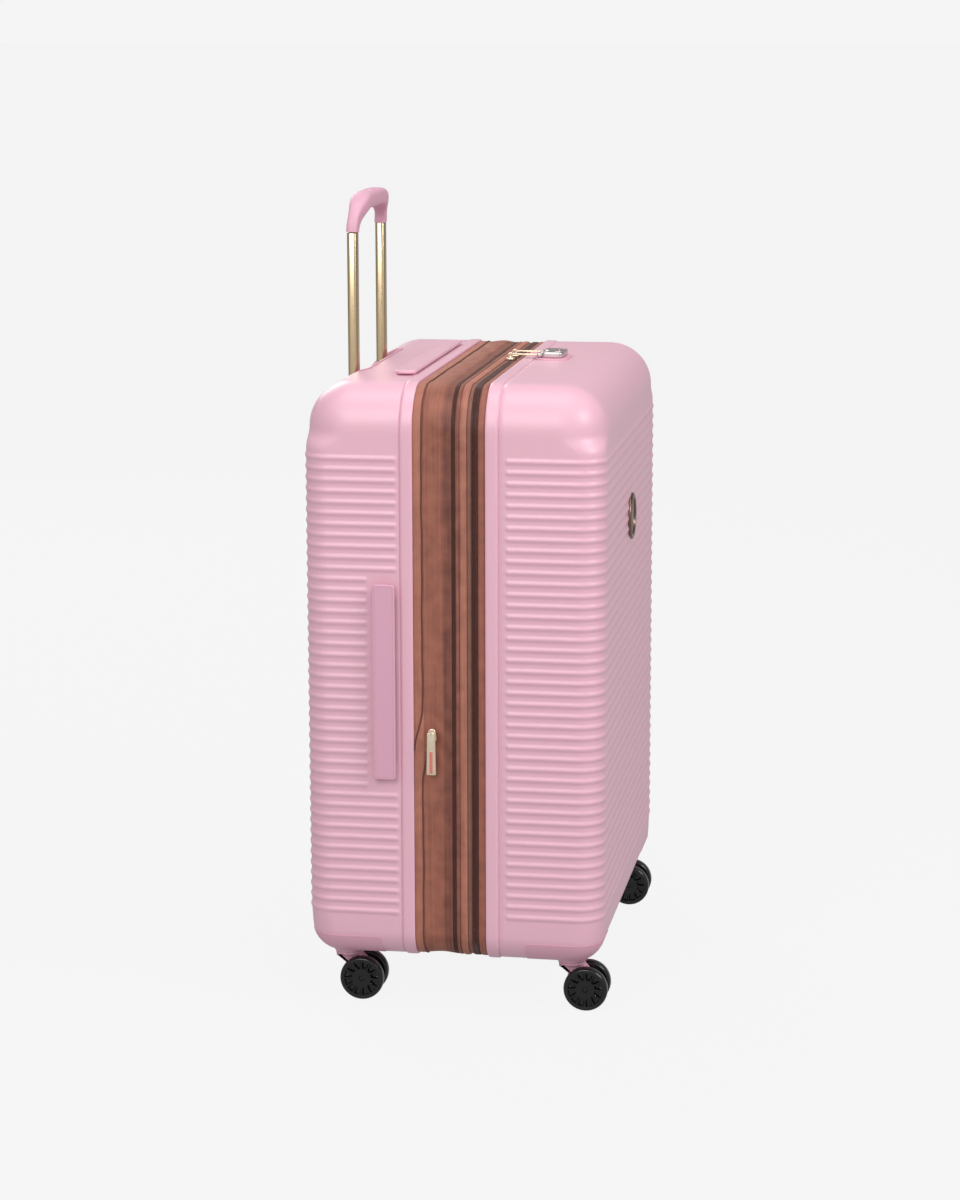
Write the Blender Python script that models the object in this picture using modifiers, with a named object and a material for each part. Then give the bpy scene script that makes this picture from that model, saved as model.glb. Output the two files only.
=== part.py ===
"""Expandable hard-shell spinner suitcase, modelled as separate pieces.

Metres, +Z up. The origin is on the floor under the middle of the case.
-Y is the front, where the lid opens; +Y is the back, which holds the trolley.
-X is the left side, with the carry handle; +X is the right side, with the hinge.
The case stands expanded: the gusset between its two zips is open.
"""

import math

import bmesh
import bpy
from mathutils import Matrix, Vector

# ---------------------------------------------------------------- driving sizes
WIDTH = 0.500
TOP_Z = 0.705
HALF_DEPTH = 0.167
CORNER_R = 0.050
FOOT_R = 0.034
FACE_R = 0.032
WALL = 0.0025
GAP = 0.0003

# Widths along Y of the fabric and zip rings, from the back rim to the front rim.
BACK_RIM_Y = 0.0433
BACK_STRIP_W = 0.0105
EXPANDER_HALF_W = 0.0034
PANEL_W = 0.0319
FRAME_STRIP_W = 0.0133
MAIN_HALF_W = 0.0054
FRONT_STRIP_W = 0.0082
RING_RECESS = 0.0015
RING_WALL = 0.0016

# The lid turns on the fabric along the right side, where the main zip stops short.
HINGE_OUT = 0.003
HINGE_Z_MARGIN = 0.100

# Telescopic trolley handle. TUBE_IN is from the back face to the tubes' middle.
TUBE_X = 0.080
TUBE_IN = 0.025
INNER_TUBE_X = 0.0162
INNER_TUBE_Y = 0.0114
MIDDLE_WALL = 0.0012
INNER_WALL = 0.0010
CHANNEL_WALL = 0.0014
GRIP_SHOWN = 0.152
GRIP_H = 0.043
GRIP_STOWED_PROUD = 0.005
GRIP_THICK = 0.024
GRIP_LEG = 0.0215
GRIP_BAR = 0.021
GRIP_LEAN = 0.0035
WELL_DEPTH = 0.048
WELL_WALL = 0.002
WELL_SIDE_ROOM = 0.01175
WELL_FRONT = 0.0200
WELL_BACK = 0.0175
CHANNEL_FOOT_UP = 0.042
CHANNEL_FOOT_H = 0.012
COVER_MARGIN = 0.0207
COVER_T = 0.002
BUTTON_X = 0.029
BUTTON_Y = 0.014
BUTTON_H = 0.0065
BUTTON_PROUD = 0.0015
BUTTON_TRAVEL = 0.003

# Carry handles: a bar with two legs through the shell, each with a stop inside.
HANDLE_BAR_T = 0.0035
HANDLE_RAISE = 0.0055
HANDLE_LEG_T = 0.007
HANDLE_LEG_INSET = 0.0085
HANDLE_LEG_IN = 0.014
HANDLE_STOP_T = 0.002
SIDE_HANDLE_UP = 0.210
SIDE_HANDLE_L = 0.220
SIDE_HANDLE_W = 0.0255
SIDE_HANDLE_FROM_RIM = 0.0187
TOP_HANDLE_L = 0.310
TOP_HANDLE_W = 0.0235
TOP_HANDLE_FROM_RIM = 0.0137

# Casters: a housing let into each bottom corner, a swivelling fork, twin wheels.
CASTER_FROM_SIDE = 0.045
CASTER_FROM_FACE = 0.039
TRAIL = 0.0175
WHEEL_R = 0.025
WHEEL_W = 0.013
WHEEL_SPACING = 0.028
AXLE_R = 0.003
AXLE_HALF = 0.0195
FORK_W = 0.0135
FORK_DISC_R = 0.0175
FORK_DISC_T = 0.0026
WHEEL_PLAY = 0.0006
BOSS_R = 0.019
BOSS_H = 0.0045
HOUSING_L_X = 0.082
HOUSING_L_Y = 0.0857
HOUSING_H = 0.025

# Zip sliders and their pull tabs.
SLIDER_SPREAD = 0.016
SLIDER_L = 0.012
SLIDER_W = 0.0108
SLIDER_H = 0.0047
TAB_T = 0.0016
TAB_RISE = 0.0018
MAIN_TAB_W = 0.007
TAB_TO_LOCK = 0.0002
EXPANDER_SLIDER_UP = 0.253
EXPANDER_SLIDER_L = 0.015
EXPANDER_SLIDER_FROM_STRIP = 0.0098
EXPANDER_TAB_L = 0.0503
EXPANDER_TAB_W = 0.0094

# Combination lock on the lid's top.
LOCK_X = 0.035
LOCK_FROM_RIM = 0.0213
LOCK_SIZE_X = 0.044
LOCK_SIZE_Y = 0.0265
LOCK_H = 0.0069
LOCK_BASE_H = 0.0015
LOCK_BASE_MARGIN = 0.0055
DIAL_R = 0.0036
DIAL_W = 0.004
DIAL_PITCH = 0.007
DIAL_PLAY = 0.0004
LOCK_BUTTON = (0.012, 0.0055, 0.0042)
LOCK_BUTTON_PROUD = 0.0008

# Badge on the lid's front.
BADGE_DOWN = 0.178
BADGE_R = 0.027
BADGE_T = 0.0028

# ------------------------------------------------------------ worked-out places
FORK_DISC_LOW = 2 * WHEEL_R + WHEEL_PLAY
FORK_DISC_Z = (FORK_DISC_LOW, FORK_DISC_LOW + FORK_DISC_T)
BOSS_Z = FORK_DISC_Z[1] + GAP
BASE_Z = BOSS_Z + BOSS_H
CASE_MID_Z = (TOP_Z + BASE_Z) / 2
CASE_H = TOP_Z - BASE_Z
HALF_W = WIDTH / 2
RING_IN = RING_RECESS + RING_WALL
TUBE_Y = HALF_DEPTH - TUBE_IN
GRIP_BASE_Z = TOP_Z + GRIP_SHOWN
GRIP_TOP_Z = GRIP_BASE_Z + GRIP_H
RETRACT = GRIP_TOP_Z - TOP_Z - GRIP_STOWED_PROUD
WELL_FLOOR = TOP_Z - WELL_DEPTH
WELL_HALF_X = TUBE_X + GRIP_LEG / 2 + WELL_SIDE_ROOM + WELL_WALL
WELL_Y = (TUBE_Y - WELL_FRONT, TUBE_Y + WELL_BACK)
CHANNEL_FOOT_Z = BASE_Z + CHANNEL_FOOT_UP
CASTER_X = HALF_W - CASTER_FROM_SIDE
CASTER_Y = HALF_DEPTH - CASTER_FROM_FACE
HOUSING_TOP_Z = BASE_Z + HOUSING_H


def stack_rings(start, widths):
    """Y spans that follow each other from the back rim, a gap apart."""
    spans = []
    edge = start
    for width in widths:
        edge -= GAP
        spans.append((edge - width, edge))
        edge -= width
    return spans, edge - GAP


RING_SPANS, FRONT_RIM_Y = stack_rings(
    BACK_RIM_Y,
    (
        BACK_STRIP_W,
        PANEL_W,
        EXPANDER_HALF_W,
        FRAME_STRIP_W,
        MAIN_HALF_W,
        MAIN_HALF_W,
        FRONT_STRIP_W,
    ),
)
(
    BACK_STRIP_Y,
    PANEL_Y,
    EXPANDER_FRONT_Y,
    FRAME_STRIP_Y,
    MAIN_BACK_Y,
    MAIN_FRONT_Y,
    FRONT_STRIP_Y,
) = RING_SPANS
HINGE_Y = MAIN_BACK_Y[0] - GAP / 2
HINGE_Z = (BASE_Z + HINGE_Z_MARGIN, TOP_Z - HINGE_Z_MARGIN)
RING_TOP_Z = TOP_Z - RING_RECESS
RING_LEFT_X = -(HALF_W - RING_RECESS)
LOCK_Y = (FRONT_RIM_Y - LOCK_FROM_RIM - LOCK_SIZE_Y, FRONT_RIM_Y - LOCK_FROM_RIM)
LOCK_HALF_X = LOCK_SIZE_X / 2
EXPANDER_SLIDER_Y = BACK_STRIP_Y[0] - EXPANDER_SLIDER_FROM_STRIP
EXPANDER_SLIDER_Z = (
    BASE_Z + EXPANDER_SLIDER_UP,
    BASE_Z + EXPANDER_SLIDER_UP + EXPANDER_SLIDER_L,
)

# ------------------------------------------------------------------- collection
for old in list(bpy.data.objects):
    bpy.data.objects.remove(old)

suitcase = bpy.data.collections.new("suitcase")
cutters = bpy.data.collections.new("cutters")
for group in (suitcase, cutters):
    bpy.context.scene.collection.children.link(group)


def finish_material(name, colour, roughness, metallic=0.0):
    """A Principled material of one colour."""
    found = bpy.data.materials.get(name)
    if found:
        return found
    made = bpy.data.materials.new(name)
    made.use_nodes = True
    shader = made.node_tree.nodes["Principled BSDF"]
    shader.inputs["Base Color"].default_value = (*colour, 1.0)
    shader.inputs["Roughness"].default_value = roughness
    shader.inputs["Metallic"].default_value = metallic
    return made


PINK_SHELL = ("pink_shell", (0.79, 0.47, 0.60), 0.38)
PINK_HANDLE = ("pink_handle", (0.70, 0.33, 0.46), 0.50)
COPPER_CLOTH = ("copper_cloth", (0.32, 0.13, 0.09), 0.80)
COPPER_CHAIN = ("copper_chain", (0.18, 0.07, 0.05), 0.60)
PALE_GOLD = ("pale_gold", (0.80, 0.66, 0.48), 0.25, 1.0)
CHROME = ("chrome", (0.85, 0.84, 0.82), 0.18, 1.0)
STEEL = ("steel", (0.62, 0.62, 0.63), 0.35, 1.0)
BLACK_WHEEL = ("black_wheel", (0.02, 0.02, 0.02), 0.35)
GREY_PLASTIC = ("grey_plastic", (0.30, 0.28, 0.28), 0.60)


def place(obj, finish, collection=suitcase):
    """Links a new object and gives it its own copy of a finish."""
    for owner in list(obj.users_collection):
        owner.objects.unlink(obj)
    collection.objects.link(obj)
    if collection is cutters:
        obj.hide_render = True
        obj.display_type = "WIRE"
        return obj
    title, colour, roughness, *metallic = finish
    obj.data.materials.clear()
    obj.data.materials.append(
        finish_material(obj.name + "_" + title, colour, roughness, *metallic)
    )
    return obj


def new_mesh_object(name, bm, finish, collection=suitcase):
    """An object from a bmesh, with its faces pointing out."""
    bmesh.ops.recalc_face_normals(bm, faces=bm.faces)
    mesh = bpy.data.meshes.new(name)
    bm.to_mesh(mesh)
    bm.free()
    return place(bpy.data.objects.new(name, mesh), finish, collection)


def box(name, low, high, finish, bevel=0.0, collection=suitcase):
    """A box between two corners, with its origin at its middle."""
    low, high = Vector(low), Vector(high)
    bm = bmesh.new()
    bmesh.ops.create_cube(bm, size=1.0)
    bmesh.ops.scale(bm, vec=high - low, verts=bm.verts)
    obj = new_mesh_object(name, bm, finish, collection)
    obj.location = (low + high) / 2
    if bevel:
        add_bevel(obj, bevel)
    return obj


def cylinder(name, radius, length, centre, axis, finish, sides=24, collection=suitcase):
    """A cylinder about its middle, along axis X, Y or Z."""
    bm = bmesh.new()
    bmesh.ops.create_cone(
        bm,
        cap_ends=True,
        segments=sides,
        radius1=radius,
        radius2=radius,
        depth=length,
    )
    turn = {
        "X": Matrix.Rotation(math.pi / 2, 4, "Y"),
        "Y": Matrix.Rotation(math.pi / 2, 4, "X"),
        "Z": Matrix.Identity(4),
    }[axis]
    bmesh.ops.transform(bm, matrix=turn, verts=bm.verts)
    obj = new_mesh_object(name, bm, finish, collection)
    obj.location = centre
    return obj


def add_bevel(obj, width, segments=2):
    """Rounds every sharp edge."""
    bevel = obj.modifiers.new("rounded_edges", "BEVEL")
    bevel.width = width
    bevel.segments = segments
    bevel.limit_method = "ANGLE"
    return bevel


def boolean(obj, cutter, operation="DIFFERENCE"):
    """Cuts, joins or intersects with another object."""
    cut = obj.modifiers.new(cutter.name, "BOOLEAN")
    cut.operation = operation
    cut.object = cutter
    cut.solver = "EXACT"
    return cut


def arc(centre, radius, start, stop, steps):
    """Points along an arc, angles in degrees."""
    cx, cy = centre
    points = []
    for i in range(steps + 1):
        angle = math.radians(start + (stop - start) * i / steps)
        points.append((cx + radius * math.cos(angle), cy + radius * math.sin(angle)))
    return points


def rounded_outline(half_x, low, high, radius, steps=6, foot=None):
    """A rounded rectangle, counter-clockwise from the middle of its right side."""
    foot = foot or radius
    points = [(half_x, (low + high) / 2)]
    points += arc((half_x - radius, high - radius), radius, 0, 90, steps)
    points += arc((-half_x + radius, high - radius), radius, 90, 180, steps)
    points += arc((-half_x + foot, low + foot), foot, 180, 270, steps)
    points += arc((half_x - foot, low + foot), foot, 270, 360, steps)
    return points


def case_outline(inset):
    """The case's rounded outline in X and Z, moved in by an inset."""
    return rounded_outline(
        HALF_W - inset,
        BASE_Z + inset,
        TOP_Z - inset,
        CORNER_R - inset,
        foot=FOOT_R - inset,
    )


def open_outline(inset):
    """The case outline cut open along the hinge on the right side."""
    points = case_outline(inset)[1:]
    return [(HALF_W - inset, HINGE_Z[1]), *points, (HALF_W - inset, HINGE_Z[0])]


def flat_curve(name, outlines, thickness, finish, collection=suitcase):
    """Filled outlines in local X and Y, with a thickness along local Z."""
    curve = bpy.data.curves.new(name, "CURVE")
    curve.dimensions = "2D"
    curve.fill_mode = "BOTH"
    curve.extrude = thickness / 2
    for outline in outlines:
        spline = curve.splines.new("POLY")
        spline.points.add(len(outline) - 1)
        for point, (x, y) in zip(spline.points, outline):
            point.co = (x, y, 0.0, 1.0)
        spline.use_cyclic_u = True
    return place(bpy.data.objects.new(name, curve), finish, collection)


def as_mesh(obj, finish, collection=suitcase):
    """A mesh object in place of a curve, with its caps welded."""
    name = obj.name
    bpy.context.view_layer.update()
    graph = bpy.context.evaluated_depsgraph_get()
    mesh = bpy.data.meshes.new_from_object(obj.evaluated_get(graph))
    matrix = obj.matrix_world.copy()
    old_curve = obj.data
    bpy.data.objects.remove(obj)
    bpy.data.curves.remove(old_curve)
    bm = bmesh.new()
    bm.from_mesh(mesh)
    bmesh.ops.remove_doubles(bm, verts=bm.verts, dist=0.00001)
    bpy.data.meshes.remove(mesh)
    made = new_mesh_object(name, bm, finish, collection)
    made.matrix_world = matrix
    return made


def facing_front(obj, y_span):
    """Stands a flat curve up in X and Z, filling a span of Y."""
    obj.rotation_euler = (math.pi / 2, 0, 0)
    obj.location = (0, (y_span[0] + y_span[1]) / 2, 0)
    return obj


def ring(name, y_span, finish, hinge_gap=False):
    """A band of cloth or zip right round the case, or round all but its hinge."""
    if hinge_gap:
        outlines = [open_outline(RING_RECESS) + open_outline(RING_IN)[::-1]]
    else:
        outlines = [case_outline(RING_RECESS), case_outline(RING_IN)]
    return facing_front(
        flat_curve(name, outlines, y_span[1] - y_span[0], finish), y_span
    )


# ------------------------------------------------------------------- the shells
def case_form(name, rim_y, face_y, finish, opened, collection=suitcase):
    """Half of the case's outside: a box with its corners and face edge rounded."""
    low_y, high_y = min(rim_y, face_y), max(rim_y, face_y)
    bm = bmesh.new()
    bmesh.ops.create_cube(bm, size=1.0)
    bmesh.ops.scale(bm, vec=(WIDTH, high_y - low_y, CASE_H), verts=bm.verts)
    middle = Vector((0, (low_y + high_y) / 2, CASE_MID_Z))
    bmesh.ops.translate(bm, vec=middle, verts=bm.verts)
    for at_top, radius in ((True, CORNER_R), (False, FOOT_R)):
        along_y = [
            edge
            for edge in bm.edges
            if abs(edge.verts[0].co.y - edge.verts[1].co.y) > (high_y - low_y) / 2
            and (edge.verts[0].co.z > CASE_MID_Z) == at_top
        ]
        bmesh.ops.bevel(
            bm,
            geom=along_y,
            offset=radius,
            segments=6,
            profile=0.5,
            affect="EDGES",
            clamp_overlap=False,
        )
    rim_edges = [
        edge
        for edge in bm.edges
        if all(abs(vert.co.y - face_y) < 1e-6 for vert in edge.verts)
    ]
    bmesh.ops.bevel(
        bm,
        geom=rim_edges,
        offset=FACE_R,
        segments=5,
        profile=0.5,
        affect="EDGES",
        clamp_overlap=False,
    )
    if opened:
        mouth = [f for f in bm.faces if abs(f.calc_center_median().y - rim_y) < 1e-6]
        bmesh.ops.delete(bm, geom=mouth, context="FACES")
    return new_mesh_object(name, bm, finish, collection)


def shell(name, rim_y, face_y):
    """A moulded half shell, open at its rim."""
    obj = case_form(name, rim_y, face_y, PINK_SHELL, opened=True)
    wall = obj.modifiers.new("wall", "SOLIDIFY")
    wall.thickness = WALL
    wall.offset = -1.0
    wall.use_even_offset = True
    return obj


back_shell = shell("back_shell", BACK_RIM_Y, HALF_DEPTH)
front_shell = shell("front_shell", FRONT_RIM_Y, -HALF_DEPTH)
back_form = case_form(
    "back_form", BACK_RIM_Y, HALF_DEPTH, PINK_SHELL, opened=False, collection=cutters
)
front_form = case_form(
    "front_form", FRONT_RIM_Y, -HALF_DEPTH, PINK_SHELL, opened=False, collection=cutters
)

# -------------------------------------------------------- cloth and zip between
ring("back_gusset_strip", BACK_STRIP_Y, COPPER_CLOTH)
ring("expansion_panel", PANEL_Y, COPPER_CLOTH)
ring("expander_zip", EXPANDER_FRONT_Y, COPPER_CHAIN)
ring("zip_frame_strip", FRAME_STRIP_Y, COPPER_CLOTH)
ring("main_zip_back", MAIN_BACK_Y, COPPER_CHAIN, hinge_gap=True)
ring("main_zip_front", MAIN_FRONT_Y, COPPER_CHAIN, hinge_gap=True)
ring("front_gusset_strip", FRONT_STRIP_Y, COPPER_CLOTH)
box(
    "hinge_tape",
    (HALF_W - RING_IN, MAIN_FRONT_Y[0], HINGE_Z[0] + GAP),
    (HALF_W - RING_RECESS, MAIN_BACK_Y[1], HINGE_Z[1] - GAP),
    COPPER_CLOTH,
)


# ------------------------------------------------------------- telescopic handle
def tube_outline(size_x, size_y, radius):
    """A rounded rectangle about the middle of a tube."""
    return rounded_outline(size_x / 2, -size_y / 2, size_y / 2, radius, steps=3)


def tube(name, side, size, wall, z_span, finish):
    """A straight rounded-rectangle tube of the trolley."""
    size_x, size_y = size
    radius = size_y * 0.3
    outside = tube_outline(size_x, size_y, radius)
    inside = tube_outline(size_x - 2 * wall, size_y - 2 * wall, radius - wall)
    length = z_span[1] - z_span[0]
    obj = flat_curve(name, [outside, inside], length, finish)
    obj.location = (side * TUBE_X, TUBE_Y, (z_span[0] + z_span[1]) / 2)
    return obj


def around(size, wall):
    """The outside of a tube that another slides in, with its play and wall."""
    return tuple(side + 2 * (GAP + wall) for side in size)


INNER_TUBE = (INNER_TUBE_X, INNER_TUBE_Y)
MIDDLE_TUBE = around(INNER_TUBE, MIDDLE_WALL)
CHANNEL_TUBE = around(MIDDLE_TUBE, CHANNEL_WALL)
CHANNEL_TOP_Z = WELL_FLOOR - WELL_WALL - GAP
CHANNEL_Z = (CHANNEL_FOOT_Z + CHANNEL_FOOT_H, CHANNEL_TOP_Z)
MIDDLE_Z = (CHANNEL_Z[0] + 0.008, WELL_FLOOR + 0.0015)
INNER_Z = (MIDDLE_Z[0] + 0.010 + RETRACT, GRIP_BASE_Z - GAP)

for side, word in ((-1, "left"), (1, "right")):
    tube(f"trolley_channel_{word}", side, CHANNEL_TUBE, CHANNEL_WALL, CHANNEL_Z, STEEL)
    tube(f"middle_tube_{word}", side, MIDDLE_TUBE, MIDDLE_WALL, MIDDLE_Z, PALE_GOLD)
    tube(f"inner_tube_{word}", side, INNER_TUBE, INNER_WALL, INNER_Z, PALE_GOLD)

# The tray in the back of the top that the grip sinks into.
well_cut = box(
    "well_cut",
    (-WELL_HALF_X - GAP, WELL_Y[0] - GAP, WELL_FLOOR - WELL_WALL - GAP),
    (WELL_HALF_X + GAP, WELL_Y[1] + GAP, TOP_Z + 0.02),
    PINK_SHELL,
    collection=cutters,
)
boolean(back_shell, well_cut)
trolley_well = box(
    "trolley_well",
    (-WELL_HALF_X, WELL_Y[0], WELL_FLOOR - WELL_WALL),
    (WELL_HALF_X, WELL_Y[1], TOP_Z + 0.01),
    PINK_HANDLE,
)
well_room = box(
    "well_room",
    (-WELL_HALF_X + WELL_WALL, WELL_Y[0] + WELL_WALL, WELL_FLOOR),
    (WELL_HALF_X - WELL_WALL, WELL_Y[1] - WELL_WALL, TOP_Z + 0.03),
    PINK_HANDLE,
    collection=cutters,
)
boolean(trolley_well, well_room)
for side, word in ((-1, "left"), (1, "right")):
    size_x, size_y = (size + 2 * GAP for size in MIDDLE_TUBE)
    hole = box(
        f"well_hole_{word}",
        (side * TUBE_X - size_x / 2, TUBE_Y - size_y / 2, WELL_FLOOR - 0.01),
        (side * TUBE_X + size_x / 2, TUBE_Y + size_y / 2, WELL_FLOOR + 0.005),
        PINK_HANDLE,
        collection=cutters,
    )
    boolean(trolley_well, hole)
boolean(trolley_well, back_form, "INTERSECT")

# The foot that ties the channels together at the bottom, against the back wall.
channel_half_x = CHANNEL_TUBE[0] / 2
channel_half_y = CHANNEL_TUBE[1] / 2
box(
    "channel_foot",
    (-TUBE_X - channel_half_x, TUBE_Y - channel_half_y, CHANNEL_FOOT_Z),
    (TUBE_X + channel_half_x, TUBE_Y + channel_half_y, CHANNEL_Z[0] - GAP),
    GREY_PLASTIC,
    bevel=0.002,
)

# The cover inside the case, bent back at both sides to the back wall.
COVER_HALF_X = TUBE_X + channel_half_x + COVER_MARGIN
cover_front_y = TUBE_Y - channel_half_y - GAP - COVER_T
cover_back_y = HALF_DEPTH - WALL - GAP
cover_outline = [
    (-COVER_HALF_X, cover_back_y),
    (-COVER_HALF_X, cover_front_y),
    (COVER_HALF_X, cover_front_y),
    (COVER_HALF_X, cover_back_y),
    (COVER_HALF_X - COVER_T, cover_back_y),
    (COVER_HALF_X - COVER_T, cover_front_y + COVER_T),
    (-COVER_HALF_X + COVER_T, cover_front_y + COVER_T),
    (-COVER_HALF_X + COVER_T, cover_back_y),
]
COVER_Z = (BASE_Z + FACE_R, WELL_FLOOR - WELL_WALL - 2 * GAP)
trolley_cover = flat_curve(
    "trolley_cover", [cover_outline], COVER_Z[1] - COVER_Z[0], GREY_PLASTIC
)
trolley_cover.location = (0, 0, (COVER_Z[0] + COVER_Z[1]) / 2)

# The grip: an arch over the two inner tubes, with a release button in its top.
GRIP_Y = TUBE_Y - GRIP_LEAN
grip_half_x = TUBE_X + GRIP_LEG / 2
hand_half_x = TUBE_X - GRIP_LEG / 2
hand_top_z = GRIP_TOP_Z - GRIP_BAR
grip_outline = [(hand_half_x, GRIP_BASE_Z), (grip_half_x, GRIP_BASE_Z)]
grip_outline += arc((grip_half_x - 0.024, GRIP_TOP_Z - 0.024), 0.024, 0, 90, 6)
grip_outline += arc((-grip_half_x + 0.024, GRIP_TOP_Z - 0.024), 0.024, 90, 180, 6)
grip_outline += [(-grip_half_x, GRIP_BASE_Z), (-hand_half_x, GRIP_BASE_Z)]
grip_outline += arc((-hand_half_x + 0.010, hand_top_z - 0.010), 0.010, 180, 90, 4)
grip_outline += arc((hand_half_x - 0.010, hand_top_z - 0.010), 0.010, 90, 0, 4)
grip_curve = flat_curve("trolley_grip", [grip_outline], GRIP_THICK, PINK_HANDLE)
grip_span = (GRIP_Y - GRIP_THICK / 2, GRIP_Y + GRIP_THICK / 2)
grip = as_mesh(facing_front(grip_curve, grip_span), PINK_HANDLE)
add_bevel(grip, 0.005, 2)
button_top = GRIP_TOP_Z + BUTTON_PROUD
button_base = button_top - BUTTON_H
button_pocket = box(
    "button_pocket",
    (-BUTTON_X / 2 - GAP, GRIP_Y - BUTTON_Y / 2 - GAP, button_base - BUTTON_TRAVEL - GAP),
    (BUTTON_X / 2 + GAP, GRIP_Y + BUTTON_Y / 2 + GAP, GRIP_TOP_Z + 0.01),
    PINK_HANDLE,
    collection=cutters,
)
boolean(grip, button_pocket)
box(
    "grip_button",
    (-BUTTON_X / 2, GRIP_Y - BUTTON_Y / 2, button_base),
    (BUTTON_X / 2, GRIP_Y + BUTTON_Y / 2, button_top),
    PINK_HANDLE,
    bevel=0.001,
)


# ---------------------------------------------------------------- carry handles
def handle_outline(length):
    """A bar with a leg near each end, in length and height above the shell."""
    outer = HANDLE_RAISE + HANDLE_BAR_T
    half = length / 2
    leg_out = half - HANDLE_LEG_INSET
    leg_in = leg_out - HANDLE_LEG_T
    tip = -HANDLE_LEG_IN
    return [
        (-half + 0.004, outer),
        (-half, outer - 0.002),
        (-half, HANDLE_RAISE - 0.003),
        (-leg_out, HANDLE_RAISE - 0.003),
        (-leg_out, tip),
        (-leg_in, tip),
        (-leg_in, HANDLE_RAISE),
        (leg_in, HANDLE_RAISE),
        (leg_in, tip),
        (leg_out, tip),
        (leg_out, HANDLE_RAISE - 0.003),
        (half, HANDLE_RAISE - 0.003),
        (half, outer - 0.002),
        (half - 0.004, outer),
    ]


def carry_handle(name, width, length, matrix):
    """A handle, its two stops and their slots in the back shell."""
    leg_mid = length / 2 - HANDLE_LEG_INSET - HANDLE_LEG_T / 2
    bar = flat_curve(name, [handle_outline(length)[::-1]], width, PINK_HANDLE)
    bar.matrix_world = matrix
    bar = as_mesh(bar, PINK_HANDLE)
    for sign, word in ((-1, "a"), (1, "b")):
        stop = box(
            f"{name}_stop_{word}",
            (-HANDLE_LEG_T, -HANDLE_STOP_T / 2, -width / 2),
            (HANDLE_LEG_T, HANDLE_STOP_T / 2, width / 2),
            STEEL,
        )
        shift = (sign * leg_mid, -HANDLE_LEG_IN - GAP - HANDLE_STOP_T / 2, 0)
        stop.matrix_world = matrix @ Matrix.Translation(shift)
        slot = box(
            f"{name}_slot_{word}",
            (-HANDLE_LEG_T / 2 - GAP, -0.01, -width / 2 - GAP),
            (HANDLE_LEG_T / 2 + GAP, 0.01, width / 2 + GAP),
            PINK_SHELL,
            collection=cutters,
        )
        slot.matrix_world = matrix @ Matrix.Translation((sign * leg_mid, 0, 0))
        boolean(back_shell, slot)
    return bar


# Each matrix has the handle's length, its height off the shell and its width.
side_y = BACK_RIM_Y + SIDE_HANDLE_FROM_RIM + SIDE_HANDLE_W / 2
side_z = BASE_Z + SIDE_HANDLE_UP + SIDE_HANDLE_L / 2
side_matrix = Matrix(
    ((0, -1, 0, -HALF_W), (0, 0, -1, side_y), (1, 0, 0, side_z), (0, 0, 0, 1))
)
carry_handle("side_handle", SIDE_HANDLE_W, SIDE_HANDLE_L, side_matrix)
top_y = BACK_RIM_Y + TOP_HANDLE_FROM_RIM + TOP_HANDLE_W / 2
top_matrix = Matrix(((1, 0, 0, 0), (0, 0, -1, top_y), (0, 1, 0, TOP_Z), (0, 0, 0, 1)))
carry_handle("top_handle", TOP_HANDLE_W, TOP_HANDLE_L, top_matrix)


# ---------------------------------------------------------------------- casters
def fork_outline():
    """The web under a fork's disc, in Y and Z about the swivel axis."""
    top = FORK_DISC_Z[0] + 0.001
    around_axle = arc((-TRAIL, WHEEL_R), 0.0075, 150, 350, 8)
    return [(0.013, top), (-0.017, top), *around_axle]


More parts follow.
